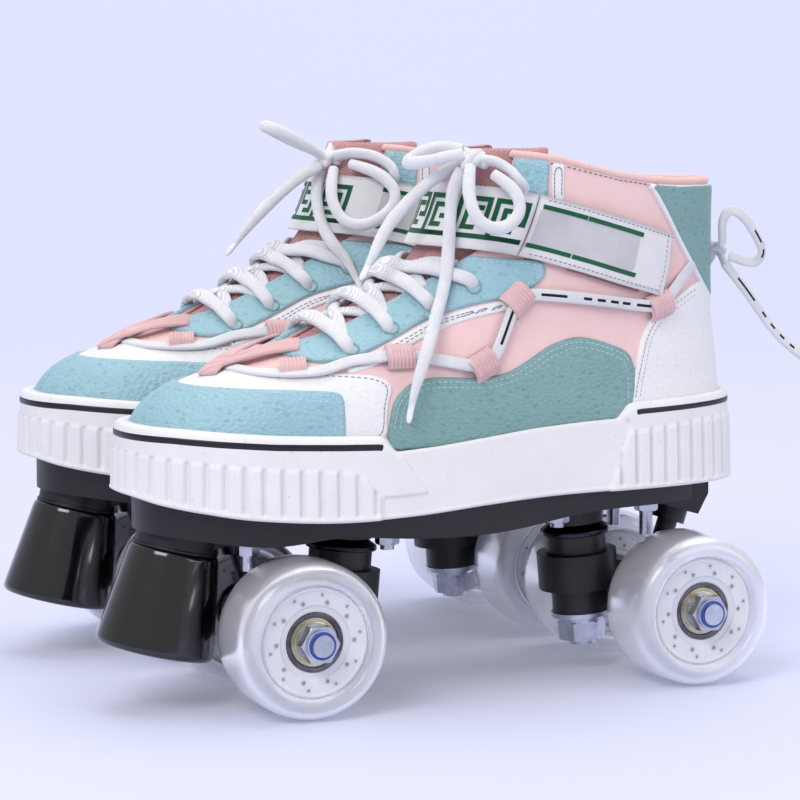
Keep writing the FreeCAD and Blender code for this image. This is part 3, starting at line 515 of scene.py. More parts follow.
class Mat:
    def __init__(self, name, **sock):
        self.m = bpy.data.materials.new(name)
        self.m.use_nodes = True
        self.t = self.m.node_tree
        self.t.nodes.clear()
        self.out = self.add("ShaderNodeOutputMaterial")
        self.b = self.add("ShaderNodeBsdfPrincipled")
        self.t.links.new(self.b.outputs[0], self.out.inputs[0])
        self.co = self.add("ShaderNodeTexCoord").outputs["Object"]
        for k, v in sock.items():
            self.b.inputs[k.replace("_", " ")].default_value = v

    def add(self, kind, **props):
        n = self.t.nodes.new(kind)
        for k, v in props.items():
            setattr(n, k, v)
        return n

    def link(self, a, b):
        self.t.links.new(a, b)

    def noise(self, scale, detail=3.0, rough=0.55, co=None, dist=0.0):
        n = self.add("ShaderNodeTexNoise")
        n.inputs["Scale"].default_value = scale
        n.inputs["Detail"].default_value = detail
        n.inputs["Roughness"].default_value = rough
        n.inputs["Distortion"].default_value = dist
        self.link(co or self.co, n.inputs["Vector"])
        return n.outputs["Fac"]

    def voro(self, scale, feature="F1", co=None, smooth=0.4, rand=1.0):
        n = self.add("ShaderNodeTexVoronoi", feature=feature)
        n.inputs["Scale"].default_value = scale
        n.inputs["Randomness"].default_value = rand
        if feature == "SMOOTH_F1":
            n.inputs["Smoothness"].default_value = smooth
        self.link(co or self.co, n.inputs["Vector"])
        return n.outputs["Distance"]

    def map(self, rot=(0, 0, 0), scale=(1, 1, 1), co=None):
        n = self.add("ShaderNodeMapping")
        n.inputs["Rotation"].default_value = rot
        n.inputs["Scale"].default_value = scale
        self.link(co or self.co, n.inputs["Vector"])
        return n.outputs[0]

    def wave(self, scale, co=None, axis="X", dist=0.0, kind="SIN"):
        n = self.add("ShaderNodeTexWave", bands_direction=axis, wave_profile=kind)
        n.inputs["Scale"].default_value = scale
        n.inputs["Distortion"].default_value = dist
        self.link(co or self.co, n.inputs["Vector"])
        return n.outputs["Fac"]

    def ramp(self, fac, stops):
        n = self.add("ShaderNodeValToRGB")
        el = n.color_ramp.elements
        while len(el) < len(stops):
            el.new(0.5)
        for e, (p, c) in zip(el, stops):
            e.position = p
            e.color = c
        self.link(fac, n.inputs[0])
        return n.outputs[0]

    def math(self, op, a, b=None):
        n = self.add("ShaderNodeMath", operation=op)
        for i, v in enumerate((a, b)):
            if v is None:
                continue
            if isinstance(v, (int, float)):
                n.inputs[i].default_value = v
            else:
                self.link(v, n.inputs[i])
        return n.outputs[0]

    def col(self, sock):
        self.link(sock, self.b.inputs["Base Color"])

    def rough(self, fac, lo, hi):
        n = self.add("ShaderNodeMapRange")
        n.inputs["To Min"].default_value = lo
        n.inputs["To Max"].default_value = hi
        self.link(fac, n.inputs[0])
        self.link(n.outputs[0], self.b.inputs["Roughness"])

    def bump(self, height, dist, strength=1.0, prev=None):
        n = self.add("ShaderNodeBump")
        n.inputs["Strength"].default_value = strength
        n.inputs["Distance"].default_value = dist
        self.link(height, n.inputs["Height"])
        if prev is not None:
            self.link(prev, n.inputs["Normal"])
        self.link(n.outputs[0], self.b.inputs["Normal"])
        return n.outputs[0]


def leather(name, rgb, grain=620.0, depth=0.00035, var=0.06, rough=(0.36, 0.52)):
    m = Mat(name, IOR=1.47)
    c = srgb(*rgb)
    d = tuple(x * (1 - var * 2.2) for x in c[:3]) + (1,)
    l = tuple(min(1, x * (1 + var)) for x in c[:3]) + (1,)
    st = m.map(scale=(1.0, 1.0, 1.35))
    v = m.voro(grain, "SMOOTH_F1", st, 0.35)
    pores = m.voro(grain * 0.42, "F1", m.map(scale=(0.8, 1.0, 1.5)))
    pit = m.math("GREATER_THAN", m.math("SUBTRACT", 0.23, pores), 0.0)
    n = m.noise(46, 3)
    m.col(m.ramp(m.math("SUBTRACT", m.math("ADD", m.math("MULTIPLY", n, 0.75), m.math("MULTIPLY", v, 0.3)), m.math("MULTIPLY", pit, 0.75)), [(0.05, d), (0.45, c), (0.8, l)]))
    m.rough(n, *rough)
    b1 = m.bump(m.math("SUBTRACT", m.math("MULTIPLY", v, -1.0), m.math("MULTIPLY", pit, 1.8)), depth * 1.5, 0.7)
    m.bump(m.noise(260, 3), 0.00022, 0.35, b1)
    return m.m


def fabric(name, rgb, rgb2, scale=1500.0, rot=math.radians(40), bump=0.00018, sheen=0.25, rough=(0.7, 0.88), strength=0.6, var=60):
    m = Mat(name, Sheen_Weight=sheen, Sheen_Roughness=0.4, Specular_IOR_Level=0.25)
    co = m.map(rot=(0, rot, 0))
    a = m.wave(scale / 6.2832, co, "X")
    b = m.wave(scale / 6.2832, co, "Z")
    w = m.math("MULTIPLY", a, b)
    n = m.noise(var, 4)
    m.col(m.ramp(m.math("ADD", m.math("MULTIPLY", w, 0.35), m.math("MULTIPLY", n, 0.65)), [(0.2, srgb(*rgb2)), (0.7, srgb(*rgb))]))
    m.rough(n, *rough)
    b1 = m.bump(w, bump, strength)
    m.bump(m.noise(420, 3), 0.00025, 0.3, b1)
    return m.m


def plastic(name, rgb, rough=(0.35, 0.5), grain=900.0, depth=0.0001, coat=0.0, metal=0.0, var=0.08, strength=0.4, **kw):
    m = Mat(name, Coat_Weight=coat, Coat_Roughness=0.08, Metallic=metal, **kw)
    n = m.noise(70, 4)
    c = srgb(*rgb)
    m.col(m.ramp(n, [(0.3, tuple(x * (1 - var) for x in c[:3]) + (1,)), (0.7, tuple(min(1, x * (1 + var)) for x in c[:3]) + (1,))]))
    m.rough(m.noise(180, 4), *rough)
    m.bump(m.noise(grain, 3), depth, strength)
    return m.m


def speckle(name, rgb, dark):
    """White moulded rubber with fine dark specks."""
    m = Mat(name, Specular_IOR_Level=0.4)
    v = m.voro(430, "F1")
    n = m.noise(55, 3)
    spot = m.math("LESS_THAN", v, m.math("MULTIPLY", m.noise(140, 2), 0.16))
    base = m.ramp(n, [(0.3, srgb(*[int(c * 0.975) for c in rgb])), (0.7, srgb(*rgb))])
    mix = m.add("ShaderNodeMix", data_type="RGBA")
    m.link(spot, mix.inputs["Factor"])
    m.link(base, mix.inputs[6])
    mix.inputs[7].default_value = srgb(*dark)
    m.col(mix.outputs[2])
    m.rough(m.noise(200, 3), 0.48, 0.66)
    m.bump(m.noise(520, 4, 0.65), 0.00022, 0.5)
    return m.m


M = {}
M["teal"] = leather("teal_pebbled_leather", (145, 184, 195))
M["teal_heel"] = leather("teal_pebbled_leather_heel", (121, 158, 157))
M["white_pu"] = leather("white_smooth_leather", (230, 229, 230), grain=1100, depth=0.00012, var=0.015, rough=(0.45, 0.6))
M["pink"] = fabric("pink_fine_twill", (252, 219, 216), (242, 203, 201), scale=7000)
M["lining"] = fabric("salmon_mesh_lining", (232, 186, 186), (196, 140, 141), scale=2300, rot=math.radians(45), bump=0.0006, strength=0.9)
M["binding"] = fabric("pink_knit_binding", (255, 220, 215), (242, 196, 191), scale=4200, rot=math.radians(10), bump=0.0004, strength=0.8)
M["webbing"] = fabric("white_webbing", (255, 254, 254), (240, 239, 241), scale=6500, rot=math.radians(30), bump=0.0003, strength=0.8, sheen=0.15)
M["webbing_grey"] = fabric("grey_ribbed_webbing", (250, 249, 249), (206, 206, 210), scale=5200, rot=math.radians(52), bump=0.0004, strength=0.9, sheen=0.15)
M["green"] = fabric("green_woven_thread", (26, 118, 80), (12, 84, 54), scale=6500, rot=math.radians(30), bump=0.0003, strength=0.8, sheen=0.2)
M["lace"] = fabric("white_cotton_lace", (252, 252, 253), (234, 234, 240), scale=3600, rot=math.radians(45), bump=0.0004, strength=0.9, sheen=0.3, var=160)
M["cord"] = fabric("white_flat_cord", (247, 247, 248), (222, 223, 228), scale=4800, rot=math.radians(45), bump=0.0003, strength=0.8, sheen=0.2)
M["cord_black"] = fabric("black_cord_print", (34, 34, 38), (18, 18, 22), scale=4800, rot=math.radians(45), bump=0.0003, strength=0.6, sheen=0.1)
M["pink_web"] = fabric("pink_ribbed_webbing", (248, 212, 212), (224, 182, 184), scale=5200, rot=math.radians(20), bump=0.0003, strength=0.7)
M["thread_white"] = fabric("white_thread", (238, 242, 246), (200, 208, 214), scale=9000, bump=0.0002)
M["thread_grey"] = fabric("grey_thread", (150, 150, 160), (112, 112, 124), scale=9000, bump=0.0002)
M["thread_dark"] = fabric("dark_teal_thread", (66, 96, 104), (44, 66, 74), scale=9000, bump=0.0002)
M["sole"] = speckle("white_speckled_rubber", (232, 230, 231), (190, 188, 196))
M["tread"] = speckle("white_tread_rubber", (222, 222, 230), (180, 180, 190))
M["stripe"] = plastic("black_stripe_rubber", (14, 14, 18), (0.28, 0.42), 700, 0.00015)
M["plate"] = plastic("black_glassfilled_nylon", (14, 13, 19), (0.34, 0.52), 1400, 0.00018)
M["stop"] = plastic("black_toe_stop_rubber", (9, 9, 14), (0.1, 0.2), 300, 0.00004, coat=0.6)
M["black_rubber"] = plastic("black_cushion_rubber", (15, 15, 19), (0.3, 0.48), 900, 0.0001)
M["aglet"] = plastic("clear_white_aglet", (236, 236, 244), (0.16, 0.28), 600, 0.00003, coat=0.5)
M["blue"] = plastic("blue_nylon_insert", (36, 76, 156), (0.3, 0.45), 800, 0.00005)
# hole floors: this grey is painted shade for the inside of the hub's shallow holes
M["dark_hole"] = plastic("painted_shade_hole_floor", (150, 152, 162), (0.5, 0.6), 800, 0.00005)
M["core"] = plastic("milky_wheel_core", (222, 223, 228), (0.32, 0.46), 500, 0.00006, var=0.02, Subsurface_Weight=0.35, Subsurface_Radius=(0.004, 0.004, 0.0045), Subsurface_Scale=1.0)


def metal(name, rgb, rgb2, rough=(0.2, 0.38), brush=0.0):
    m = Mat(name, Metallic=1.0)
    n = m.noise(120, 4)
    m.col(m.ramp(n, [(0.3, srgb(*rgb2)), (0.7, srgb(*rgb))]))
    m.rough(m.noise(300, 4), *rough)
    m.bump(m.noise(900, 3), 0.00006, 0.4)
    return m.m


M["zinc"] = metal("bright_zinc_steel", (206, 208, 220), (168, 172, 186))
M["bearing"] = metal("ground_bearing_steel", (122, 118, 124), (80, 77, 84), (0.2, 0.34))
M["shield"] = metal("brassy_bearing_shield", (206, 204, 176), (164, 158, 122), (0.22, 0.36))
M["black_zinc"] = metal("black_zinc_steel", (60, 60, 72), (34, 34, 42), (0.16, 0.3))


def tyre_mat():
    m = Mat("clear_milky_urethane", IOR=1.42, Transmission_Weight=0.62, Roughness=0.2, Subsurface_Weight=0.0, Coat_Weight=0.35, Coat_Roughness=0.12)
    n = m.noise(60, 3)
    m.col(m.ramp(n, [(0.3, srgb(236, 237, 247)), (0.7, srgb(247, 247, 252))]))
    m.rough(m.noise(140, 3), 0.14, 0.27)
    m.bump(m.noise(240, 3), 0.0001, 0.3)
    return m.m


M["tyre"] = tyre_mat()

# ------------------------------------------------------------------ boot
COLLAR = np.array([(40, 203.0), (70, 203.0), (84, 202.6), (96, 201.4), (106, 199.6), (118, 196.6), (130, 193.8), (142, 192.0), (156, 191.0), (172, 190.8), (200, 190.8)])
THROAT = np.array([(9.0, 7.3), (15.0, 10.8), (24.0, 13.6), (44.0, 16.1), (62.0, 18.9), (76.0, 23.6), (112.0, 26.2)])


def collar_z(x):
    return np.interp(x, COLLAR[:, 0], COLLAR[:, 1])


def f_collar(u, z):
    return collar_z(surf(u, z)[..., 0]) - z


def f_throat(u, z, grow=0.0):
    """Positive outside the lacing gap."""
    P = surf(u, z)
    x, y = P[..., 0], np.abs(P[..., 1])
    half = np.interp(x, THROAT[:, 0], THROAT[:, 1])
    half = np.where(x < 9.0, -np.hypot(9.0 - x, 0) * 1.0 + 7.3, half) + grow
    out = y - half
    return np.where(z < 120, 60.0, np.where(x > 112, 60.0, out))


def boxed(poly, it=3):
    P = soft_poly(poly, it)

    def f(u, z):
        S = surf(u, z)
        return sd_poly(S[..., 0], S[..., 2], P)
    return f


def fmin(*fs):
    return lambda u, z: np.minimum.reduce([f(u, z) for f in fs])


# pink fabric upper: outer skin down into the sole, thickness 2 mm
def skin(field, h_out, h_in, z0, z1, du=1 / 360, dz=1.6, top_round=1.2):
    A, F = uz_grid(0.0, 1.0, z0, z1, du, dz)
    f0 = field(A[:, 0], A[:, 1])
    A, F = compact(A, F[(f0[F] > -4).any(1)])
    A = np.c_[A, true_dist(field, A)]
    A, F = split(A, F, 2, 0.0, True)
    A, F = split(A, F, 2, top_round * 0.4)
    A, F = split(A, F, 2, top_round)
    A, F = compact(A, F)
    t = np.clip(A[:, 2] / top_round, 0, 1)
    k = 1 - np.sqrt(np.maximum(0, 1 - (1 - t) ** 2))
    mid = 0.5 * (h_out + h_in)
    o = h_out + (mid - h_out) * k * 0.8
    i = h_in + (mid - h_in) * k * 0.8
    n = len(A)
    b = border(F)
    # the seam at u = 0 and 1 joins to itself and stays unfaced
    ub = A[b][:, :, 0]
    seam = ((ub < 1e-6).all(1)) | ((ub > 1 - 1e-6).all(1))
    b = b[~seam]
    return np.vstack([on(A[:, 0], A[:, 1], o), on(A[:, 0], A[:, 1], i)]), [F, F[:, ::-1] + n, np.stack([b[:, 1], b[:, 0], b[:, 0] + n, b[:, 1] + n], -1)]


def weld(g, tol=1e-3):
    V, F = g
    K = np.round(V / tol).astype(np.int64)
    _, first, inv = np.unique(K, axis=0, return_index=True, return_inverse=True)
    inv = inv.ravel()
    out = []
    for f in F:
        q = inv[f]
        if q.shape[1] == 3:
            q = q[(q[:, 0] != q[:, 1]) & (q[:, 1] != q[:, 2]) & (q[:, 2] != q[:, 0])]
        out.append(q)
    return V[first], out


f_shell = fmin(f_collar, f_throat)
upper = weld(skin(f_shell, 0.0, -1.9, 92.0, 205.5))
both("quarters", upper, M["pink"], replaces=("boot_shell",))


# lining with a padded collar
def f_lining(u, z):
    return np.minimum(f_collar(u, z) - 0.5, f_throat(u, z, 0.4))


def lining_geo():
    A, F = uz_grid(0.0, 1.0, 92.0, 205.0, 1 / 300, 2.0)
    f0 = f_lining(A[:, 0], A[:, 1])
    A, F = compact(A, F[(f0[F] > -4).any(1)])
    A = np.c_[A, true_dist(f_lining, A)]
    A, F = split(A, F, 2, 0.0, True)
    A, F = compact(A, F)
    top = collar_z(surf(A[:, 0], A[:, 1])[:, 0]) - A[:, 1]
    puff = np.exp(-((top - 8.0) / 7.0) ** 2) * 1.5 * np.clip(A[:, 2] / 3, 0, 1)
    n = len(A)
    b = border(F)
    ub = A[b][:, :, 0]
    b = b[~(((ub < 1e-6).all(1)) | ((ub > 1 - 1e-6).all(1)))]
    i = -3.6 - puff
    return np.vstack([on(A[:, 0], A[:, 1], -2.0 + 0 * i), on(A[:, 0], A[:, 1], i)]), [F, F[:, ::-1] + n, np.stack([b[:, 1], b[:, 0], b[:, 0] + n, b[:, 1] + n], -1)]


lin = both("collar_lining", weld(lining_geo()), M["lining"])


# insole, so that the boot has a floor
def footbed():
    us = np.linspace(0, 1, 160, endpoint=False)
    rings = []
    for off, zz in ((-3.0, 92.0), (-3.0, 97.0), (-4.2, 98.6), (-12.0, 98.2), (-22.0, 97.8)):
        P = surf(us, 96.0, off)
        rings.append(np.c_[P[:, :2], np.full(len(us), zz)])
    V = np.vstack(rings)
    F = [quads(5, 160, True)]
    for base, rev in ((0, True), (4 * 160, False)):
        i = np.arange(0, 79)
        q = np.stack([base + i, base + i + 1, base + 159 - i, base + (160 - i) % 160], -1)
        F.append(q[:, ::-1] if rev else q)
    return V, flip(F)


both("footbed", footbed(), M["lining"])


# tongue: padded, shows between the eyestays and above the collar
def tongue_geo():
    A, F = uz_grid(-0.5, 0.5, 122.0, 204.5, 1 / 420, 1.6)

    def f(u, z):
        P = surf(u, z)
        x, y = P[..., 0], np.abs(P[..., 1])
        half = np.interp(x, THROAT[:, 0], THROAT[:, 1]) + 4.5
        return np.where(x > 118, -50.0, np.minimum.reduce([half - y, x - 5.0, 204.0 - z]))
    f0 = f(A[:, 0], A[:, 1])
    A, F = compact(A, F[(f0[F] > -3).any(1)])
    A = np.c_[A, true_dist(f, A)]
    A, F = split(A, F, 2, 0.0, True)
    A, F = split(A, F, 2, 1.4)
    A, F = compact(A, F)
    P = surf(A[:, 0], A[:, 1])
    d = np.clip(A[:, 2], 0, 12)
    gap = -f_throat(A[:, 0], A[:, 1])
    up = np.clip((P[:, 2] - 150) / 45, 0, 1)
    h = -2.4 + 1.6 * np.clip(gap / 7.0, 0, 1) * (0.5 + 0.5 * up) - 0.7 * np.exp(-d / 1.0)
    n = len(A)
    b = border(F)
    return np.vstack([on(A[:, 0], A[:, 1], h), on(A[:, 0], A[:, 1], h - 2.0 - 1.2 * up)]), [F, F[:, ::-1] + n, np.stack([b[:, 1], b[:, 0], b[:, 0] + n, b[:, 1] + n], -1)]


tg = both("tongue_padded", tongue_geo(), M["lining"], replaces=("tongue",))

# ---- leather panels
TOE = [(-80, 96), (14.9, 96), (15.4, 110.0), (15.6, 115.4), (12.6, 117.9), (-80, 118.4)]
SIDE = [(30, 88), (31.0, 102), (33.5, 113.5), (41.5, 120.3), (52, 121.6), (69, 120.3), (80.5, 121.6), (90, 126.2), (99, 131.4), (110, 134.2), (120, 132.4), (137, 126.0), (133.5, 88)]
EYES = [(0, 129.5), (-4.5, 136), (20, 162), (60, 206), (63.8, 203), (65.5, 165), (84, 163.2), (97.6, 162.8), (99.2, 157.6), (95.0, 153.2), (83, 148.8), (70, 146.6), (54, 142.4), (38, 134.4), (24, 128.4), (10, 126.2)]
PATCH = [(84, 176), (99.0, 176), (101.0, 188), (102.0, 212), (78, 212), (78, 190)]
STRIP = [(101.6, 176), (106.6, 176), (107.4, 212), (102.6, 212)]
TAB = [(140.8, 212), (141.0, 190.6), (145.3, 185.3), (150.4, 178.2), (154.9, 171.2), (161.5, 162.2), (167.8, 154.6), (175.3, 146.7), (190, 138), (206, 132), (206, 212)]
COUNT = [(131.8, 88), (131.9, 106), (134.0, 114.8), (137.0, 125.1), (139.8, 133.2), (144.2, 139.4), (150.0, 143.6), (156.3, 146.8), (164.8, 150.4), (172.5, 153.0), (184, 146), (206, 130), (206, 88)]
VAMP = [(-80, 96), (30.6, 96), (31.5, 112), (34.5, 118.0), (32.0, 121.8), (24, 123.2), (2, 123.6), (-80, 123.6)]

fT, fS, fE, fP, fB, fC, fV, fW = (boxed(p, 3) for p in (TOE, SIDE, EYES, PATCH, TAB, COUNT, VAMP, STRIP))
f_lip = lambda u, z: f_collar(u, z) - 1.7
thr = lambda u, z: f_throat(u, z) - 0.2


def panel(name, field, mat, T, r, rows, zr, thread="thread_white", h0=0.0, st_h=0.05, keep=None, du=1 / 420, dz=1.1, puff=0.0, rep=()):
    g, full = patch(field, T, r, h0, z=zr, du=du, dz=dz, want=True, puff=puff, u=(-0.001, 0.999))
    both(name, g, M[mat], replaces=rep)
    gs = [stitches(full, l, h0 + T + st_h, keep=keep) for l in rows]
    gs = [q for q in gs if len(q[0])]
    if gs:
        both(name + "_stitching", join(gs), M[thread])


above = lambda X: X[:, 2] > 101.5
panel("vamp_panel", fV, "white_pu", 0.7, 0.6, (1.6,), (96, 128), "thread_grey", keep=above)
panel("toe_cap", fT, "teal", 1.5, 1.2, (2.0, 4.0), (96, 123), h0=0.2, keep=above, puff=0.25, rep=("leather_overlays",))
panel("side_panel", fS, "teal_heel", 1.3, 1.2, (1.9, 3.9), (96, 138), keep=lambda X: (X[:, 2] > 104) & (X[:, 0] < 133), puff=0.3)
panel("eyestay", fmin(fE, thr), "teal", 1.2, 1.1, (1.8,), (120, 205), "thread_white", keep=lambda X: X[:, 0] > -3, puff=0.25, h0=0.15)
panel("collar_patch", fmin(fP, f_lip, thr), "teal", 1.1, 1.0, (1.8,), (174, 204), keep=lambda X: X[:, 2] > 186, puff=0.2)
panel("collar_strip", fmin(fW, f_lip), "white_pu", 0.8, 0.6, (1.1,), (174, 202), "thread_grey", keep=lambda X: X[:, 2] > 186)
panel("heel_counter", fC, "white_pu", 1.4, 1.2, (1.9, 3.9), (96, 166), "thread_grey", keep=lambda X: (X[:, 2] > 110) & (X[:, 0] < 168), puff=0.3)
panel("heel_tab_edge", fmin(fB, f_lip), "white_pu", 1.6, 0.5, (), (128, 200), h0=0.0)
panel("heel_tab", fmin(lambda u, z: fB(u, z) - 1.0, f_lip), "teal_heel", 2.0, 1.0, (), (128, 200), h0=0.0, puff=0.3)
# stitched piping below the eyestay
pipe_mask = lambda u, z: np.minimum(surf(u, z)[..., 0] - 19.0, 92.0 - surf(u, z)[..., 0])
panel("eyestay_piping", fmin(lambda u, z: 2.0 - np.abs(fE(u, z) + 2.5), pipe_mask, lambda u, z: 158.0 - z), "white_pu", 0.9, 0.8, (1.9,), (118, 160), "thread_grey")


# ---- collar binding: a rolled knit tape with a dark stitch line
def collar_path(n=260):
    us = np.linspace(0.0, 1.0, 1400)
    z = np.full_like(us, 199.0)
    for _ in range(30):
        z = collar_z(surf(us, z)[:, 0])
    ok = f_throat(us, z) > -0.3
    i = np.where(ok & (us > 0.01) & (us < 0.99))[0]
    U, Z = us[i], z[i]
    P = surf(U, Z)
    Q = resample(np.c_[P, U, Z], 0.36)
    return Q


CP = collar_path()
CN = normal(CP[:, 3], CP[:, 4])
binding_line = CP[:, :3] + CN * -1.2 + np.array([0, 0, -0.5])
up = np.tile([0.0, 0.0, 1.0], (len(CP), 1))
k = 20
a = np.linspace(0, 2 * np.pi, k, endpoint=False)
prof = np.stack([1.75 * np.cos(a), 1.65 * np.sin(a)], -1)
prof[:, 1] = np.where(prof[:, 1] < 0, prof[:, 1] * 0.9, prof[:, 1])
knit = 1.0 - 0.075 * np.abs(np.sin(np.arange(len(CP)) * 0.36 * np.pi / 1.5)) ** 3
both("collar_binding", sweep(binding_line, up, prof, scale=knit), M["binding"])


def line_stitches(P, N, step, length, rad):
    Q = resample(np.c_[P, N], step)
    X, NN = Q[:, :3], unit(Q[:, 3:])
    T = tangents(X)
    B = unit(np.cross(NN, T))
    base = np.array([(-1, 0, 0), (-0.72, 0.75, 0), (-0.72, -0.75, 0), (-0.72, 0, 0.9), (0.72, 0.75, 0), (0.72, -0.75, 0), (0.72, 0, 0.9), (1, 0, 0), (-0.72, 0, -0.8), (0.72, 0, -0.8)])
    V = (X[:, None] + base[None, :, :1] * T[:, None] * length / 2 + base[None, :, 1:2] * B[:, None] * rad + base[None, :, 2:] * NN[:, None] * rad).reshape(-1, 3)
    off = (np.arange(len(X)) * 10)[:, None, None]
    tri = np.array([(0, 3, 1), (0, 2, 3), (0, 8, 2), (0, 1, 8), (7, 4, 6), (7, 6, 5), (7, 5, 9), (7, 9, 4)])
    qd = np.array([(1, 3, 6, 4), (3, 2, 5, 6), (2, 8, 9, 5), (8, 1, 4, 9)])
    return V, [(tri[None] + off).reshape(-1, 3), (qd[None] + off).reshape(-1, 4)]


sl = surf(CP[:, 3], CP[:, 4] - 2.1) + normal(CP[:, 3], CP[:, 4] - 2.1) * 0.35
both("collar_binding_stitching", line_stitches(sl, CN, 2.2, 1.5, 0.22), M["thread_dark"])

# ------------------------------------------------------------------ outsole
SOLE_B = np.array([(-75, 84.0), (-57, 80.6), (-48, 77.8), (-35, 75.2), (-18, 72.7), (10, 71.0), (40, 71.8), (70, 74.0), (100, 75.5), (130, 75.8), (160, 75.6), (190, 75.2), (210, 75.0)])
SOLE_T = np.array([(-80, 106.0), (-57, 105.6), (-45, 105.2), (-30, 104.0), (-12, 102.8), (12, 102.0), (27.5, 101.6), (33.0, 95.6), (36.0, 95.8), (50, 96.8), (67, 98.6), (90, 101.0), (112, 102.4), (127, 102.9), (131.5, 108.2), (136.0, 108.8), (205, 109.8)])
SB = smooth_path(SOLE_B, 10)
STP = SOLE_T


def zb(x):
    return np.interp(x, SB[:, 0], SB[:, 1])


def zt(x):
    return np.interp(x, STP[:, 0], STP[:, 1])


def sstep(t):
    t = np.clip(t, 0, 1)
    return t * t * (3 - 2 * t)


NS = 1000
ua = np.linspace(0, 1, 6001)
Pa = surf(ua, 88.0, 4.3)
La = np.r_[0, np.cumsum(np.linalg.norm(np.diff(Pa, axis=0), axis=1))]
US = np.interp(np.linspace(0, La[-1], NS, endpoint=False), La, ua)
SS = np.interp(US, ua, La)
PERIM = La[-1]
WN = np.roll(surf(US, 88.0, 4.3), -1, 0) - np.roll(surf(US, 88.0, 4.3), 1, 0)
WN = unit(np.cross(WN, [0.0, 0.0, 1.0]))
xs0 = surf(US, 88.0, 4.3)[:, 0]
zbot, ztop = zb(xs0), zt(xs0)
# soften the steps of the top edge a little
for _ in range(4):
    ztop = 0.25 * np.roll(ztop, 1) + 0.5 * ztop + 0.25 * np.roll(ztop, -1)
PITCH = PERIM / round(PERIM / 6.8)


def relief(x, z, s):
    """Height of the wall's pattern in mm."""
    ph = (s / PITCH) % 1.0
    tri = np.minimum(ph, 1 - ph) * 2
    rib = sstep((tri - 0.12) / 0.26)
    # toe ribs: below a line that falls towards the arch
    top_l = np.interp(x, [-80, -57, -27, 15.6, 21.0, 26.2, 26.8], [98.5, 96.4, 92.4, 89.2, 86.8, 80.5, 60.0])
    toe = sstep((top_l - z) / 0.9) * (x < 27.5)
    heel_l = np.interp(x, [118, 122.2, 130.4, 131.0, 168.5, 205], [60.0, 77.1, 97.7, 98.0, 100.7, 101.8])
    heel = sstep((heel_l - z) / 0.9) * (x > 121)
    # ribs stop short of the bottom edge
    zbx = zb(x)
    low = sstep((z - zbx - 1.6) / 0.8)
    r = -1.7 * (1 - rib) * (toe + heel) * low
    r += 0.75 * (toe + heel)
    # arch panel: smooth, lower than the toe piece, with slanted front edge
    slant = np.interp(z, [60, 79.5, 80.2, 95.5, 101], [27.0, 27.2, 45.0, 33.6, 30.5])
    r += 0.8 * (1 - sstep((x - slant) / 0.7)) * (x < 60)
    slant2 = np.interp(z, [75, 77.1, 97.7, 101.0, 103.5, 110], [121.5, 122.2, 130.2, 130.6, 128.6, 128.6])
    r += 0.8 * sstep((x - slant2) / 0.7) * (x > 100)
    # foot line all the way round
    r += 0.35 * (1 - sstep((z - zbx - 1.1) / 0.7))
    return r


def outsole_geo():
    rows = []
    base = surf(US, 88.0, 0.0)

    def ring(off, z):
        P = surf(US, 88.0, off)
        return np.c_[P[:, :2], np.broadcast_to(z, P[:, 0].shape)]
    # top inside, lip, wall, bottom
    rows.append(ring(-3.0, ztop - 7.0))
    rows.append(ring(-3.0, ztop - 2.0))
    inner = surf(US, np.maximum(ztop - 1.0, 90.0), 1.6)
    rows.append(np.c_[inner[:, :2], ztop - 1.2])
    inner2 = surf(US, np.maximum(ztop, 90.0), 1.9)
    rows.append(np.c_[inner2[:, :2], ztop - 0.15])
    nw = 44
    for t in np.linspace(1, 0, nw):
        z = zbot + (ztop - zbot) * t
        off = 5.0 + (3.6 - 5.0) * (z - 68) / 44.0
        P = surf(US, 88.0, 0.0)
        Q = ring(0, z)
        for i0 in (0,):
            pass
        Q = np.c_[surf(US, 88.0, 4.3)[:, :2], z] + WN * (off - 4.3)[:, None]
        dt, db = (ztop - z), (z - zbot)
        r = relief(Q[:, 0], z, SS) * sstep(dt / 3.0)
        edge = -0.9 * (1 - np.sqrt(np.clip(1 - (1 - np.clip(dt / 1.0, 0, 1)) ** 2, 0, 1))) - 1.0 * (1 - np.sqrt(np.clip(1 - (1 - np.clip(db / 1.2, 0, 1)) ** 2, 0, 1)))
        rows.append(Q + WN * (r + edge)[:, None])
    for off, dz in ((1.0, 0.0), (-1.0, 0.0), (-1.6, 0.9), (-14.0, 0.9), (-28.0, 0.9)):
        P = surf(US, 88.0, off)
        rows.append(np.c_[P[:, :2], zb(P[:, 0]) + dz])
    V = np.vstack(rows)
    n = len(rows)
    F = [quads(n, NS, True)]
    i = np.arange(0, NS // 2 - 1)
    for b, rev in ((0, True), ((n - 1) * NS, False)):
        q = np.stack([b + i, b + i + 1, b + NS - 2 - i, b + (NS - 1 - i)], -1) if False else np.stack([b + i, b + i + 1, b + (NS - i - 1) % NS, b + (NS - i) % NS], -1)
        F.append(q if rev else q[:, ::-1])
    return V, flip(F)


both("moulded_outsole", outsole_geo(), M["sole"], replaces=("outsole",))


def wall_strip(x_end, side_heel, top_gap, height, proud):
    """Inlaid stripe round the toe or the heel of the sole wall, with round ends."""
    xx = xs0
    sel = (xx > x_end) if side_heel else (xx < x_end)
    idx = np.where(sel)[0]
    if not side_heel:
        idx = np.r_[idx[idx > NS // 2], idx[idx <= NS // 2]]
    zc = ztop[idx] - top_gap - height / 2
    off = 5.0 + (3.6 - 5.0) * (zc - 68) / 44.0
    r = relief(xx[idx], zc, SS[idx])
    P = np.c_[surf(US[idx], 88.0, 4.3)[:, :2], zc] + WN[idx] * (off - 4.3 + 0.5 + proud * 0.0)[:, None]
    N = WN[idx]
    return sweep(P, N, oval(height, 0.9, 12, 3.0))


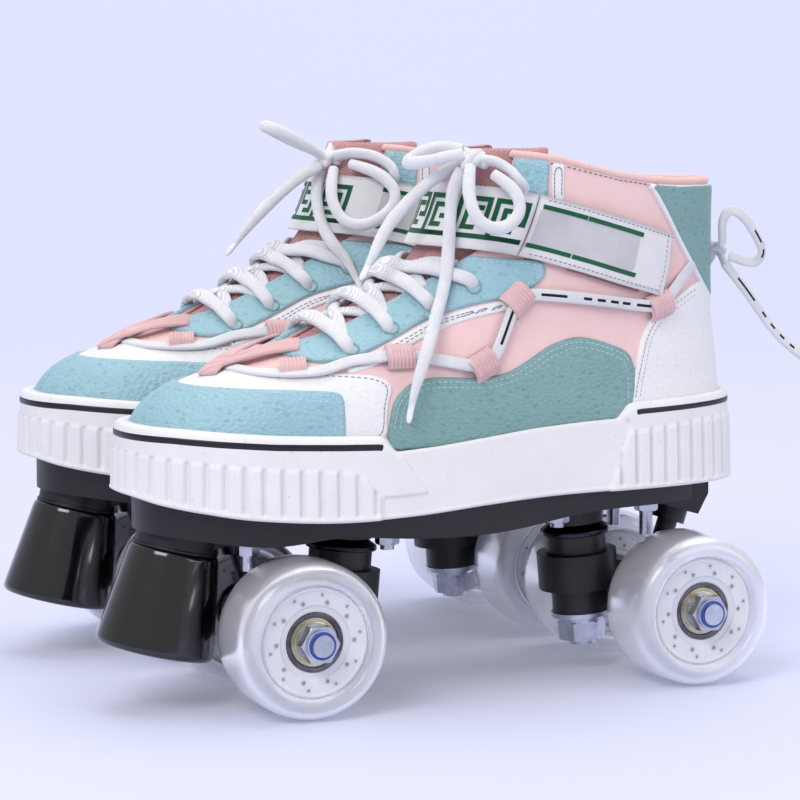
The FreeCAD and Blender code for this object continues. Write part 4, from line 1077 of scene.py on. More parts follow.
both("toe_stripe", wall_strip(27.4, False, 2.7, 2.7, 0.3), M["stripe"])
both("heel_stripe", wall_strip(134.0, True, 2.6, 2.3, 0.3), M["stripe"])

# ------------------------------------------------------------------ ankle strap
BT = np.array([(38, 191.5), (70, 190.0), (88, 188.4), (104, 185.0), (128, 178.4), (150.6, 171.6), (170, 165.8)])
BB = np.array([(38, 166.5), (70, 166.0), (90, 163.4), (111, 158.0), (128, 153.0), (146, 148.0), (170, 141.0)])
BT, BB = smooth_path(BT, 10), smooth_path(BB, 10)


def strap_uz(u, t):
    z = np.full(np.broadcast(u, t).shape, 178.0)
    for _ in range(25):
        x = surf(u, z)[..., 0]
        z = np.interp(x, BB[:, 0], BB[:, 1]) * (1 - t) + np.interp(x, BT[:, 0], BT[:, 1]) * t
    return z


uc = np.linspace(-0.37, 0.37, 1401)
zc = strap_uz(uc, 0.5 + 0 * uc)
pc = on(uc, zc, 2.8 + 0 * uc)
lc = np.r_[0, np.cumsum(np.linalg.norm(np.diff(pc, axis=0), axis=1))]
lc = lc - np.interp(0.0, uc, lc)
XL = lambda x: float(np.interp(x, pc[uc > 0.02][:, 0], lc[uc > 0.02]))       # arc length on the outer side at x
S_END = XL(148.3) + 3.4
S_FLAP = XL(93.0)


def strap_pt(s, t, h):
    u = np.interp(s, lc, uc)
    z = strap_uz(u, t)
    return on(u, z, h)


def strap_box(s0, s1, t0, t1, h0, h1, ds=1.0, nt=14, slant=0.0, edge=0.35):
    """Rounded band between s0 and s1; slant moves the far end's top."""
    nsg = max(2, int(abs(s1 - s0) / ds) + 1)
    t = np.linspace(t0, t1, nt)
    a = np.linspace(0, 1, nsg)
    A, T = np.meshgrid(a, t, indexing="ij")
    S0 = s0 + (T - 0.5) * (slant if s0 < -60 else 0.0) * -1
    S1 = s1 + (T - 0.5) * (slant if s1 > 60 else 0.0)
    Sg = S0 + (S1 - S0) * A
    hs = 0.5 * (h0 + h1)
    m = np.ones_like(A)
    m[:, [0, -1]] = 0.35
    m[[0, -1], :] = np.minimum(m[[0, -1], :], 0.35)
    top = strap_pt(Sg, T, hs + (h1 - hs) * m)
    bot = strap_pt(Sg, T, hs - (hs - h0) * m)
    n = nsg * nt
    q = quads(nsg, nt)
    F = [q[:, ::-1], q + n]
    i = np.arange(nsg - 1) * nt
    F.append(np.stack([i, i + nt, i + nt + n, i + n], -1))
    i2 = i + nt - 1
    F.append(np.stack([i2, i2 + n, i2 + nt + n, i2 + nt], -1))
    j = np.arange(nt - 1)
    F.append(np.stack([j, j + n, j + 1 + n, j + 1], -1))
    j2 = j + (nsg - 1) * nt
    F.append(np.stack([j2, j2 + 1, j2 + 1 + n, j2 + n], -1))
    return np.vstack([top.reshape(-1, 3), bot.reshape(-1, 3)]), flip(F)


both("strap_band", strap_box(-S_END, S_FLAP - 0.35, 0, 1, 2.0, 3.5, slant=-1.9), M["webbing"], replaces=("ankle_strap",))
both("strap_free_end", strap_box(S_FLAP + 0.05, S_END, 0, 1, 2.0, 3.6, slant=-1.9), M["webbing"], body="strap_flap", replaces=("strap_flap",))
both("strap_free_end_grey_zone", strap_box(S_FLAP + 1.2, S_END - 16.0, 0.2, 0.82, 3.3, 3.68, ds=1.2, nt=10, slant=-1.0), M["webbing_grey"], body="strap_flap")
both("strap_hook_edge", strap_box(S_FLAP + 20, S_END - 9, -0.035, 0.2, 1.4, 2.05, ds=1.5, nt=4), M["lining"], body="strap_flap")
both("strap_band_grey_zone", strap_box(-S_END + 16.0, -XL(84.0), 0.2, 0.82, 3.2, 3.58, ds=1.2, nt=10, slant=-1.0), M["webbing_grey"])


def bars(lines, h0, h1, w=1.7, wt=None):
    """Printed or woven lines on the strap: list of (s0, t0, s1, t1) centre lines, in mm and share of width."""
    gs = []
    W = 24.0
    for s0, t0, s1, t1 in lines:
        if abs(s1 - s0) > 1e-6:
            a, b = min(s0, s1) - w / 2, max(s0, s1) + w / 2
            gs.append(strap_box(a, b, t0 - w / 2 / W, t0 + w / 2 / W, h0, h1, ds=1.2, nt=4))
        else:
            a, b = min(t0, t1) - w / 2 / W, max(t0, t1) + w / 2 / W
            gs.append(strap_box(s0 - w / 2, s0 + w / 2, a, b, h0, h1, ds=0.8, nt=12))
    return join(gs)


def key(s, d):
    """One square of a plain running key pattern, d is +1 or -1 for its direction."""
    return [(s, 0.80, s + 11 * d, 0.80), (s, 0.80, s, 0.20), (s, 0.20, s + 11.5 * d, 0.20), (s + 3.4 * d, 0.66, s + 8.6 * d, 0.66), (s + 3.4 * d, 0.66, s + 3.4 * d, 0.34),
            (s + 3.4 * d, 0.34, s + 7.0 * d, 0.34), (s + 11 * d, 0.80, s + 11 * d, 0.48), (s + 11 * d, 0.48, s + 7.2 * d, 0.48)]


S_BAND0, S_BAND1 = -XL(84.0) + 1.0, S_FLAP - 2.5
n_key = int((S_BAND1 - S_BAND0 - 11.5) // 14.0) + 1
k_start = S_BAND1 - 11.5 - (n_key - 1) * 14.0
sf = [(k_start, 0.20, S_BAND1, 0.20)]
for k0 in range(n_key):
    sf += key(k_start + k0 * 14.0, 1)
both("strap_key_pattern", bars(sf, 3.35, 3.72, 1.9), M["green"])
gap = XL(112.0)
both("strap_stripes_free_end", bars([(S_FLAP + 3.0, 0.83, gap - 0.9, 0.83), (gap + 1.1, 0.83, S_END - 16.6, 0.83), (S_FLAP + 1.6, 0.19, gap - 2.4, 0.19), (gap - 0.2, 0.19, S_END - 15.6, 0.19)], 3.45, 3.86, 1.7),
     M["green"], body="strap_flap")
both("strap_stripes_band", bars([(-S_END + 16.6, 0.83, -gap - 1.1, 0.83), (-gap + 0.9, 0.83, -XL(84.0) - 1, 0.83), (-S_END + 15.6, 0.19, -gap + 0.2, 0.19), (-gap + 2.4, 0.19, -XL(84.0) - 1, 0.19)], 3.35, 3.76, 1.7),
     M["green"])
# box stitching at the strap's end
se = []
for t0, t1, s0, s1 in ((0.06, 0.94, S_END - 2.5, S_END - 2.5), (0.06, 0.06, S_FLAP + 4, S_END - 3), (0.94, 0.94, S_FLAP + 4, S_END - 1)):
    m = 40
    ss, tt = np.linspace(s0, s1, m), np.linspace(t0, t1, m)
    if s0 == s1:
        ss = ss + (tt - 0.5) * -1.9
    P = strap_pt(ss, tt, 3.62 + 0 * ss)
    N = normal(np.interp(ss, lc, uc), strap_uz(np.interp(ss, lc, uc), tt))
    se.append(line_stitches(P, N, 2.0, 1.35, 0.2))
both("strap_end_stitching", join(se), M["thread_grey"], body="strap_flap")

# ------------------------------------------------------------------ laces and drawcord
EYELETS = [(22.0, 26.6), (38.0, 26.2), (54.2, 26.6), (70.0, 28.2)]
BAR_DIP = [2.6, 2.6, 6.0, 17.0]
COLLAR_EYELET = (90.0, 28.0, 189.4)
KNOT = {"left": (75.0, -20.0, 199.5), "right": (70.1, 10.0, 196.4)}
LACE_ENDS = {
    "left": {
        "tail_a": [(71.0, -18.5, 196.0), (67.6, -18.5, 190.0), (66.2, -19.3, 181.6), (64.6, -21.6, 172.9), (62.6, -24.9, 163.7),
                   (59.9, -28.2, 154.4), (53.4, -34.6, 142.8), (46.8, -42.6, 132.9), (42.2, -46.2, 124.0), (39.0, -47.0, 115.9), (37.2, -47.4, 107.4)],
        "tail_b": [(74.3, -15.0, 199.0), (67.9, -13.0, 196.0), (61.1, -12.0, 191.6), (54.6, -12.0, 186.2), (47.7, -13.0, 180.1),
                   (42.0, -15.0, 174.6), (37.8, -17.2, 168.6), (33.9, -19.2, 162.8), (29.9, -21.0, 157.3)],
        "loop_a": [(73.0, -15.0, 203.2), (67.5, -11.0, 204.4), (61.5, -6.5, 203.0), (56.5, -4.5, 200.0), (53.0, -8.5, 198.2),
                   (54.5, -14.5, 198.4), (60.0, -18.5, 199.6), (65.5, -20.5, 201.2), (69.8, -21.5, 201.6)],
        "loop_b": [(71.5, -25.0, 197.0), (68.4, -30.0, 191.4), (67.2, -34.0, 185.0), (68.4, -37.2, 178.8), (73.2, -39.2, 174.8),
                   (79.8, -40.0, 175.4), (84.6, -40.2, 180.0), (85.0, -38.6, 186.2), (82.4, -35.0, 191.0), (78.6, -30.0, 194.4)],
    },
    "right": {
        "tail_a": [(64.5, 13.5, 194.0), (56.8, 14.6, 190.6), (49.3, 16.0, 185.4), (41.9, 16.0, 179.1), (34.9, 15.0, 171.9), (30.0, 14.0, 165.6), (25.3, 13.0, 159.5)],
        "tail_b": [(66.5, 9.3, 191.1), (63.9, 12.3, 184.4), (62.4, 17.3, 177.2), (62.6, 22.8, 169.2), (64.6, 28.8, 163.0), (68.6, 31.4, 157.8), (71.1, 34.4, 151.9), (73.3, 37.4, 145.1)],
        "loop_a": [(67.5, 6.0, 199.5), (60.0, 4.0, 203.0), (52.0, 3.0, 206.5), (45.5, 5.0, 209.5), (42.0, 10.0, 210.6), (45.0, 15.0, 209.4), (51.5, 17.0, 206.0), (58.5, 16.5, 202.2), (65.0, 14.0, 198.9)],
        "loop_b": [(70.2, 16.1, 192.9), (66.8, 20.9, 186.6), (65.9, 25.2, 178.9), (68.4, 30.0, 172.5), (74.0, 34.8, 170.2), (81.0, 38.2, 172.9), (87.2, 38.6, 178.5), (88.9, 36.6, 184.6), (85.4, 33.0, 190.0), (80.5, 27.0, 193.3), (76.6, 19.2, 194.9)],
    },
}
DRAW_SIDE = [(165.3, 26.6, 158.3), (158.0, 30.2, 152.7), (151.4, 32.9, 146.9), (147.4, 33.9, 143.9), (142.6, 34.7, 143.9), (131.0, 36.1, 145.5), (116.0, 37.1, 147.5), (101.0, 37.4, 149.3),
             (91.5, 37.4, 149.9), (86.4, 37.5, 148.2), (83.8, 38.3, 144.4), (80.6, 39.4, 138.0), (76.8, 40.6, 130.4), (73.8, 41.5, 126.2), (69.8, 41.9, 124.2), (64.8, 41.8, 124.7),
             (56.0, 41.0, 126.3), (46.5, 39.8, 127.9), (40.8, 38.8, 128.4), (36.6, 38.0, 128.4), (31.5, 37.1, 127.8), (20.0, 34.9, 126.3), (9.0, 32.6, 125.0), (1.6, 29.9, 124.3),
             (-4.6, 26.2, 124.2), (-11.0, 19.4, 124.3), (-15.4, 8.4, 124.9)]
DRAW_KNOT = (187.4, -3.0, 162.6)
DRAW_ENDS = {
    "loop_a": [(187.6, -8.4, 165.2), (185.4, -11.4, 171.2), (185.6, -12.4, 176.6), (189.5, -12.6, 179.4), (195.4, -12.4, 175.4),
               (200.4, -12.0, 168.8), (204.6, -10.8, 162.4), (202.8, -8.8, 157.6), (197.4, -7.4, 158.4), (192.6, -5.6, 160.4)],
    "tail_a": [(190.4, -5.0, 157.6), (196.4, -7.0, 150.0), (203.1, -8.0, 141.0), (210.4, -9.0, 131.0), (221.0, -9.0, 121.9), (232.2, -9.0, 115.9), (243.1, -8.0, 110.5)],
    "loop_b": [(188.0, 3.0, 165.6), (187.6, 8.6, 170.4), (190.0, 13.6, 171.4), (193.4, 18.0, 167.2), (195.6, 20.6, 161.0), (195.0, 20.4, 154.8),
               (192.4, 16.6, 152.0), (190.2, 11.0, 153.4), (189.2, 5.6, 156.6), (188.6, 1.8, 159.0)],
    "tail_b": [(185.6, 3.4, 159.4), (187.2, 10.6, 152.6), (189.0, 14.6, 143.6), (190.6, 16.0, 133.0), (192.4, 15.4, 122.2), (193.8, 13.6, 112.4), (195.2, 12.8, 102.6)],
}
DRAW_LEN = {"loop_a": 55.1, "tail_a": 72.3, "loop_b": 54.3, "tail_b": 61.6}
LACE_D, CORD_D = 0.0042, 0.0036


def nurbs(name, W, bevel=0.0, mat=None, radii=None, res=12):
    c = bpy.data.curves.new(name, "CURVE")
    c.dimensions = "3D"
    sp = c.splines.new("NURBS")
    sp.points.add(len(W) - 1)
    for i, p in enumerate(W):
        sp.points[i].co = (*p, 1.0)
        if radii is not None:
            sp.points[i].radius = radii[i]
    sp.order_u = 3
    sp.use_endpoint_u = True
    sp.resolution_u = res
    c.bevel_depth = bevel
    c.bevel_resolution = 5
    c.use_fill_caps = True
    if mat is not None:
        c.materials.append(mat)
    o = bpy.data.objects.new(name, c)
    bpy.context.scene.collection.objects.link(o)
    return o


def nurbs_line(W):
    """Points of the route's own NURBS line, in metres."""
    o = nurbs("route_tmp", W)
    bpy.context.view_layer.update()
    me = bpy.data.meshes.new_from_object(o)
    P = np.array([v.co for v in me.vertices])
    bpy.data.objects.remove(o)
    bpy.data.meshes.remove(me)
    return P


def top_z(x, y, off=0.0):
    lo, hi = 86.0, 206.0
    for _ in range(40):
        mid = 0.5 * (lo + hi)
        p = lev(mid)
        xf, xb, xc, w, nf, nb, wa = p
        xf, xb, w = xf - off, xb + off, w + off
        hw = 0.0
        if xf < x < xb:
            t, n = ((xc - x) / (xc - xf), nf) if x < xc else ((x - xc) / (xb - xc), nb)
            hw = w * (1 - abs(t) ** n) ** (1 / n) - wa * math.exp(-(((x - 98.0) / 34.0) ** 2))
        if hw > abs(y):
            lo = mid
        else:
            hi = mid
    return lo


def nrm_at(x, y):
    z = top_z(x, y)
    return normal(u_of(x, z, -1 if y < 0 else 1), np.array(z))


def rope_local(pts, w, h, N=None, step=0.8, twist_src=None, scale=None, prof=None):
    """Flat or round cord through local points, on a smooth line."""
    P = resample(smooth_path(pts, 14), step)
    if N is None:
        Nn = min_twist(P)
    else:
        Nn = N(P)
    sc = None
    if scale is not None:
        sc = scale(np.linspace(0, 1, len(P)))
    return sweep(P, Nn, oval(w, h, 16, 2.3) if prof is None else prof, scale=sc)


def boot_normals(P):
    """Outward normals of the boot form near points P."""
    out = []
    for p in P:
        z = min(max(p[2], 90.0), 204.0)
        s = -1 if p[1] < 0 else 1
        u = u_of(np.array(p[0]), np.array(z), s)
        n = normal(u, np.array(z))
        out.append(n)
    out = unit(np.array(out))
    for _ in range(6):
        out[1:-1] = unit(0.25 * out[:-2] + 0.5 * out[1:-1] + 0.25 * out[2:])
    return out


def on_top(x, y, h):
    """Point h above the boot form at plan position (x, y)."""
    z = top_z(x, y)
    s = -1 if y < 0 else 1
    u = float(u_of(np.array(x), np.array(z), s))
    return surf(u, z) + normal(u, np.array(z)) * h


def wob(P, amp, seed):
    r = np.random.default_rng(seed)
    t = np.linspace(0, 1, len(P))
    return amp * (np.sin(t * 9 + r.uniform(0, 6)) * 0.6 + np.sin(t * 17 + r.uniform(0, 6)) * 0.4)


for side, right in SIDES:
    gs = []
    # bars across the throat, one over each pair of eyelets
    for i, (x, ye) in enumerate(EYELETS):
        dip = BAR_DIP[i]
        pts = [on_top(x + 1.2, -ye * 1.02, -0.6)]
        for kk, dx in ((-0.97, 0.0), (-0.84, 0.28), (-0.62, 0.62), (-0.32, 1.0), (0.0, 1.05), (0.32, 1.0), (0.62, 0.62), (0.84, 0.28), (0.97, 0.0)):
            y = ye * kk
            pts.append(on_top(x - dip * dx, y, 2.9 + 1.5 * (1 - abs(kk)) ** 0.6))
        pts.append(on_top(x + 1.2, ye * 1.02, -0.6))
        w0 = 5.7
        gs.append(rope_local(pts, w0, 3.5, boot_normals, 0.8, scale=lambda t: 0.86 + 0.2 * np.sin(np.pi * t) + 0.035 * np.sin(t * 31)))
    # lower crossings between the bars
    for i in range(3):
        (xa, ya), (xb, yb) = EYELETS[i], EYELETS[i + 1]
        for sg in (-1, 1):
            pts = []
            for t in (0.06, 0.25, 0.5, 0.75, 0.94):
                x = xa + (xb - xa) * t
                y = sg * (-ya + (ya + yb) * t)
                dip = (BAR_DIP[i] + (BAR_DIP[i + 1] - BAR_DIP[i]) * t) * (1 - abs(2 * t - 1))
                pts.append(on_top(x - dip * 0.9, y * 0.86, (0.9 if sg > 0 else 0.2) + 0.4 * (1 - abs(2 * t - 1))))
            gs.append(rope_local(pts, 5.0, 2.6, boot_normals, 1.0))
    # strands up to the collar hole and the knot
    cx, cy, cz = COLLAR_EYELET
    kx, ky, kz = KNOT[side]
    K = np.array([kx, ky, kz])
    if side == "left":
        gs.append(rope_local([(cx + 1, -cy - 1.0, cz - 0.5), (89.2, -33.0, 190.4), (87.0, -33.8, 192.4), (84.6, -31.0, 196.0), (80.6, -26.4, 199.0), (kx, ky - 1, kz)], 5.0, 3.4))
        gs.append(rope_local([(cx + 1, cy + 1.0, cz - 0.5), (89.0, 33.4, 192.0), (86.0, 26.0, 198.0), (82.0, 10.0, 201.0), (79.0, -6.0, 201.5), (76.0, -15.0, 200.5), (kx, ky, kz)], 5.0, 3.4))
    else:
        gs.append(rope_local([(cx + 1, cy + 1.2, cz - 0.5), (89.6, 33.4, 191.2), (88.2, 31.8, 194.6), (83.6, 26.4, 198.2), (77.4, 18.0, 199.2), (kx, ky + 1.5, kz + 1)], 5.0, 3.4))
        gs.append(rope_local([(cx + 1, -cy - 1.0, cz - 0.5), (89.2, -33.0, 190.8), (86.0, -27.0, 197.0), (81.0, -12.0, 201.0), (76.0, 0.0, 200.5), (kx, ky, kz)], 5.0, 3.4))
    # the bow knot: one wrap round two crossed strands
    t = np.linspace(0, 2 * np.pi, 30)
    ax1, ax2 = np.array([0.55, 0.1, 0.55]), np.array([-0.3, 1.0, 0.1])
    ax1, ax2 = ax1 / np.linalg.norm(ax1), ax2 / np.linalg.norm(ax2)
    wrap = K + np.outer(np.cos(t) * 3.1, ax1) + np.outer(np.sin(t) * 3.3, ax2) + np.outer(np.sin(t * 0.5) * 1.6, np.cross(ax1, ax2))
    gs.append(rope_local(wrap, 4.2, 3.4, None, 0.6))
    gs.append(rope_local([K + (-4.0, -1.5, -2.2), K + (-1.4, -2.4, 1.6), K + (1.8, -0.4, 2.2), K + (3.6, 2.0, -0.6)], 4.6, 3.6, None, 0.6))
    gs.append(rope_local([K + (3.2, -3.4, -1.6), K + (0.8, -1.0, -0.6), K + (-1.0, 1.6, -0.4), K + (-3.4, 3.2, -1.4)], 4.4, 3.6, None, 0.6))
    V, F = join(gs)
    o = build(f"{side}_lacing", world(V, right), flip(F) if right else F, M["lace"])
    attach(o, f"{side}_chassis")
    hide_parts(f"{side}_lace")
    first = True
    for nm, pts in LACE_ENDS[side].items():
        W = world(pts, right)
        n = len(pts)
        if nm.startswith("tail"):
            rad = [1.22, 1.18, 1.1, 1.16, 1.08, 1.14, 1.2, 1.22, 1.16, 0.7, 0.5][:n]
            rad = [1.15 + 0.07 * math.sin(i * 2.1) for i in range(n)]
            rad[-3:] = [1.05, 0.66, 0.46]
        else:
            rad = [1.12 + 0.08 * math.sin(i * 1.7) for i in range(n)]
            rad[0] = rad[-1] = 1.0
        c = nurbs(f"{side}_lace_{nm}", W, LACE_D / 2, M["lace"], rad)
        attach(c, f"{side}_chassis")
        if first:
            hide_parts(f"{side}_lace_ends")
            first = False
        if nm.startswith("tail"):
            L = nurbs_line(W)
            Q = resample(L * 1000, 0.8)
            m = int(12 / 0.8)
            Q = Q[-m:]
            d = Q[-1] - Q[-3]
            Q = np.vstack([Q, Q[-1] + d / np.linalg.norm(d) * 0.7])
            sc = np.interp(np.linspace(0, 1, len(Q)), [0, 0.08, 0.9, 1], [0.86, 1.0, 0.96, 0.7])
            V, F = sweep(Q / 1000, min_twist(Q), oval(2.6, 2.4, 14, 2.0) / 1000, scale=sc)
            ag = build(f"{side}_lace_{nm}_aglet", V, F, M["aglet"])
            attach(ag, f"{side}_chassis")
    # ---- held drawcord, flat cord on the line of its own route
    route = [(x, -y, z) for x, y, z in DRAW_SIDE] + [(x, y, z) for x, y, z in reversed(DRAW_SIDE)]
    L = nurbs_line(world(route, False)) * 1000 + np.array([61.81, 59.5, 0])
    Q = resample(L, 1.0)
    N = boot_normals(Q)
    on_boot = []
    for q in Q:
        zz = np.array(min(max(q[2], 92.0), 203.0))
        uu = u_of(np.array(q[0]), zz, -1 if q[1] < 0 else 1)
        on_boot.append(surf(uu, zz))
    hh = np.interp(Q[:, 0], [-20, 150, 154, 160, 200], [2.2, 2.2, 2.0, 0.8, 0.8])
    wb = sstep((Q[:, 0] - 8.0) / 16.0)[:, None]
    Q2 = (np.array(on_boot) + N * hh[:, None]) * wb + (Q + N * -0.3) * (1 - wb)
    for _ in range(3):
        Q2[1:-1] = 0.25 * Q2[:-2] + 0.5 * Q2[1:-1] + 0.25 * Q2[2:]
    g = [sweep(Q2, N, oval(4.6, 1.8, 14, 3.2))]
    # tails of the cord round the heel tab to the knot
    for sg in (-1, 1):
        u0 = float(u_of(np.array(165.3), np.array(158.3), sg)) % 1.0
        ub = np.linspace(u0, 0.5 - sg * -0.004, 30)
        pb = on(ub, np.linspace(158.3, 162.6, 30), 0.8 + 0 * ub)
        stub = [pb[-1] + (2.0, 0.0, 0.0), pb[-1] * 0.5 + np.array(DRAW_KNOT) * 0.5, DRAW_KNOT]
        pp = resample(np.vstack([pb, stub]), 1.0)
        g.append(sweep(pp, boot_normals(pp), oval(4.6, 1.9, 14, 3.0)))
    V, F = join(g)
    o = build(f"{side}_flat_drawcord", world(V, right), flip(F) if right else F, M["cord"])
    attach(o, f"{side}_chassis")
    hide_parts(f"{side}_drawcord")
    # printed dashes, by position along the cord
    S = np.r_[0, np.cumsum(np.linalg.norm(np.diff(Q, axis=0), axis=1))]
    tot = S[-1]
    gs = []

    def dash(Qp, Np, a, b, w=1.15):
        Sp = np.r_[0, np.cumsum(np.linalg.norm(np.diff(Qp, axis=0), axis=1))]
        tt = np.arange(a, b, 0.8)
        P = np.stack([np.interp(tt, Sp, Qp[:, k]) for k in range(3)], -1)
        Nn = unit(np.stack([np.interp(tt, Sp, Np[:, k]) for k in range(3)], -1))
        return sweep(P, Nn, oval(w, 0.5, 8, 2.5))
    pos = [(28.4, 37), (39.8, 43), (45.2, 48.6), (51, 54.6), (57, 61), (67.5, 78.5), (92, 106)]
    for a, b in pos:
        for lo, hi in ((a, b), (tot - b, tot - a)):
            gs.append(dash(Q2 + N * 0.82, N, lo, hi))
    cords = {}
    for nm, pts in DRAW_ENDS.items():
        W = world(pts, False)
        Lc = nurbs_line(W) * 1000 + np.array([61.81, 59.5, 0])
        Qc = resample(Lc, 0.8)
        Tn = tangents(Qc)
        Nn = unit(np.cross(Tn, np.cross(np.array([0.25, -1.0, 0.2]), Tn)))
        Vc, Fc = sweep(Qc, Nn, oval(4.0, 1.9, 14, 3.0))
        oc = build(f"{side}_drawcord_{nm}", world(Vc, right), flip(Fc) if right else Fc, M["cord"])
        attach(oc, f"{side}_chassis")
        if nm == "loop_a":
            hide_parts(f"{side}_drawcord_ends")
        ln = DRAW_LEN[nm]
        for a, b in {"loop_a": ((30, 36), (39, 43)), "tail_a": ((8, 20), (25, 28), (31, 34), (37, 40), (43, 46), (52, 62)), "loop_b": ((14, 24),), "tail_b": ((8, 20), (28, 31), (34, 37), (44, 54))}[nm]:
            for sgn in (-1, 1):
                gs.append(dash(Qc + sgn * Nn * 0.82, Nn * sgn, a, min(b, ln - 5)))
        if nm.startswith("tail"):
            Qa = Qc[-14:]
            d = Qa[-1] - Qa[-3]
            Qa = np.vstack([Qa, Qa[-1] + d / np.linalg.norm(d) * 0.7])
            Va, Fa = sweep(Qa, np.vstack([Nn[-14:], Nn[-1:]]), oval(4.5, 2.5, 14, 2.6), scale=np.interp(np.linspace(0, 1, len(Qa)), [0, 0.06, 0.92, 1], [0.9, 1, 0.97, 0.7]))
            ag = build(f"{side}_drawcord_{nm}_aglet", world(Va, right), flip(Fa) if right else Fa, M["aglet"])
            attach(ag, f"{side}_chassis")
        tuple(world([pts[0]], right)[0])
        [tuple(p) for p in world(Lc, right)]
    V, F = join(gs)
    o = build(f"{side}_drawcord_dashes", world(V, right), flip(F) if right else F, M["cord_black"])
    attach(o, f"{side}_chassis")
    # knot of the drawcord
    K = np.array(DRAW_KNOT)
    t = np.linspace(0, 2 * np.pi, 26)
    gk = [rope_local(K + np.stack([2.4 * np.cos(t), 3.0 * np.sin(t), 1.2 * np.sin(t / 2)], -1), 3.8, 2.4, None, 0.6),
          rope_local([K + (-1.5, -5.4, 2.6), K + (1.6, -2.0, 0.4), K + (2.0, 1.6, -0.8), K + (0.5, 5.0, 2.6)], 4.2, 2.2, None, 0.6),
          rope_local([K + (3.0, -2.0, -5.0), K + (1.6, -1.4, -1.6), K + (0.4, 1.0, 1.2), K + (-1.0, 5.0, -3.0)], 4.2, 2.2, None, 0.6)]
    V, F = join(gk)
    o = build(f"{side}_drawcord_knot", world(V, right), flip(F) if right else F, M["cord"])
    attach(o, f"{side}_chassis")


# ---- ribbed webbing loops that hold the drawcord
def web_arch(c, d, n, half, width, lift, ribs=7):
    d, n = d / np.linalg.norm(d), n / np.linalg.norm(n)
    a = np.cross(n, d)
    a /= np.linalg.norm(a)
    s = np.linspace(-1, 1, 27)
    hgt = lift * np.exp(-(np.abs(s) * half / 4.4) ** 4.0) + 0.75
    nw = ribs * 8 + 1
    w = np.linspace(-0.5, 0.5, nw)
    rb = 0.62 * np.abs(np.cos(np.pi * ribs * (w + 0.5))) ** 0.8
    edge = np.clip((0.5 - np.abs(w)) * width / 0.5, 0, 1)
    top = []
    bot = []
    for si, hi in zip(s, hgt):
        p = c + a * si * half
        x, z = p[0], min(max(p[2], 92.0), 203.0)
        u = u_of(np.array(x), np.array(z), -1 if p[1] < 0 else 1)
        nn = normal(u, np.array(z))
        q = surf(u, np.array(z))
        row = q + d[None] * (w * width)[:, None]
        top.append(row + nn * (hi - 0.2 + rb + 0.25 * edge)[:, None])
        bot.append(row + nn * (hi - 0.9))
    V = np.vstack(top + bot)
    m = len(s)
    n0 = m * nw
    q = quads(m, nw)
    F = [q, q[:, ::-1] + n0]
    i = np.arange(m - 1) * nw
    F.append(np.stack([i + nw, i, i + n0, i + nw + n0], -1))
    i2 = i + nw - 1
    F.append(np.stack([i2, i2 + nw, i2 + nw + n0, i2 + n0], -1))
    j = np.arange(nw - 1)
    F.append(np.stack([j, j + 1, j + 1 + n0, j + n0], -1))
    j2 = j + (m - 1) * nw
    F.append(np.stack([j2 + 1, j2, j2 + n0, j2 + 1 + n0], -1))
    return V, F


LOOPS = [((147.4, 33.9, 143.9), (-0.93, 0.15, -0.3), 5.2, 10.5), ((86.6, 37.5, 148.0), (-0.77, 0.12, -0.62), 5.4, 10.5), ((70.0, 41.8, 124.7), (-0.86, 0.1, -0.42), 5.2, 10.5),
         ((38.8, 38.4, 128.3), (-1.0, -0.16, -0.02), 5.0, 10.0), ((1.6, 29.9, 124.3), (-0.92, -0.36, -0.08), 5.0, 10.0)]
gs = []
for sg in (-1, 1):
    for c, d, half, width in LOOPS:
        c, d = np.array([c[0], sg * c[1], c[2]]), np.array([d[0], sg * d[1], d[2]])
        nn = boot_normals(np.array([c, c, c]))[1]
        gs.append(web_arch(c, d, nn, half, width, 3.3))
V, F = join(gs)
both("webbing_loops", (V, F), M["pink_web"], replaces=("cord_loops",))


# crossed ribbed webbing on the vamp in front of the throat
def web_strip(pts, width, h, ribs=6):
    P = resample(smooth_path(pts, 12), 1.0)
    q, nn = [], []
    for p, lift in zip(P, np.sin(np.pi * np.linspace(0, 1, len(P))) ** 0.6):
        o = on_top(p[0], p[1], 1.2 + (h - 1.2) * lift)
        q.append(o)
        nn.append(nrm_at(p[0], p[1]))
    q, nn = np.array(q), unit(np.array(nn))
    k = ribs * 8 + 1
    w = np.linspace(-width / 2, width / 2, k)
    rb = 0.6 * np.abs(np.cos(np.pi * ribs * (w / width + 0.5))) ** 0.8
    prof = np.vstack([np.c_[w, rb + 0.3], np.c_[w[::-1], np.full(k, -0.5)]])
    return sweep(q, nn, prof, cap=True)


vx = [web_strip([(8.5, -13.0), (1.5, -9.6), (-6.0, -6.0), (-15.0, -1.4), (-23.5, 3.0)], 8.8, 3.0, 8), web_strip([(8.5, 13.0), (1.5, 9.6), (-6.0, 6.0), (-15.0, 1.4), (-23.5, -3.0)], 8.8, 3.6, 8)]
both("vamp_webbing", join(vx), M["pink_web"])

# eyelet rims
eg = []
for x, ye in EYELETS:
    for sg in (-1, 1):
        p = on_top(x + 1.2, sg * ye * 1.02, 1.45)
        n = nrm_at(x + 1.2, sg * ye * 1.02)
        a = np.linspace(0, 2 * np.pi, 25)[:-1]
        t1 = unit(np.cross(n, [0, 1, 0.1]))
        t2 = np.cross(n, t1)
        ringp = p + np.outer(np.cos(a) * 2.7, t1) + np.outer(np.sin(a) * 2.7, t2)
        eg.append(sweep(ringp, np.tile(n, (24, 1)), oval(0.9, 0.7, 8), closed=True))
both("eyelet_rims", join(eg), M["teal_heel"])

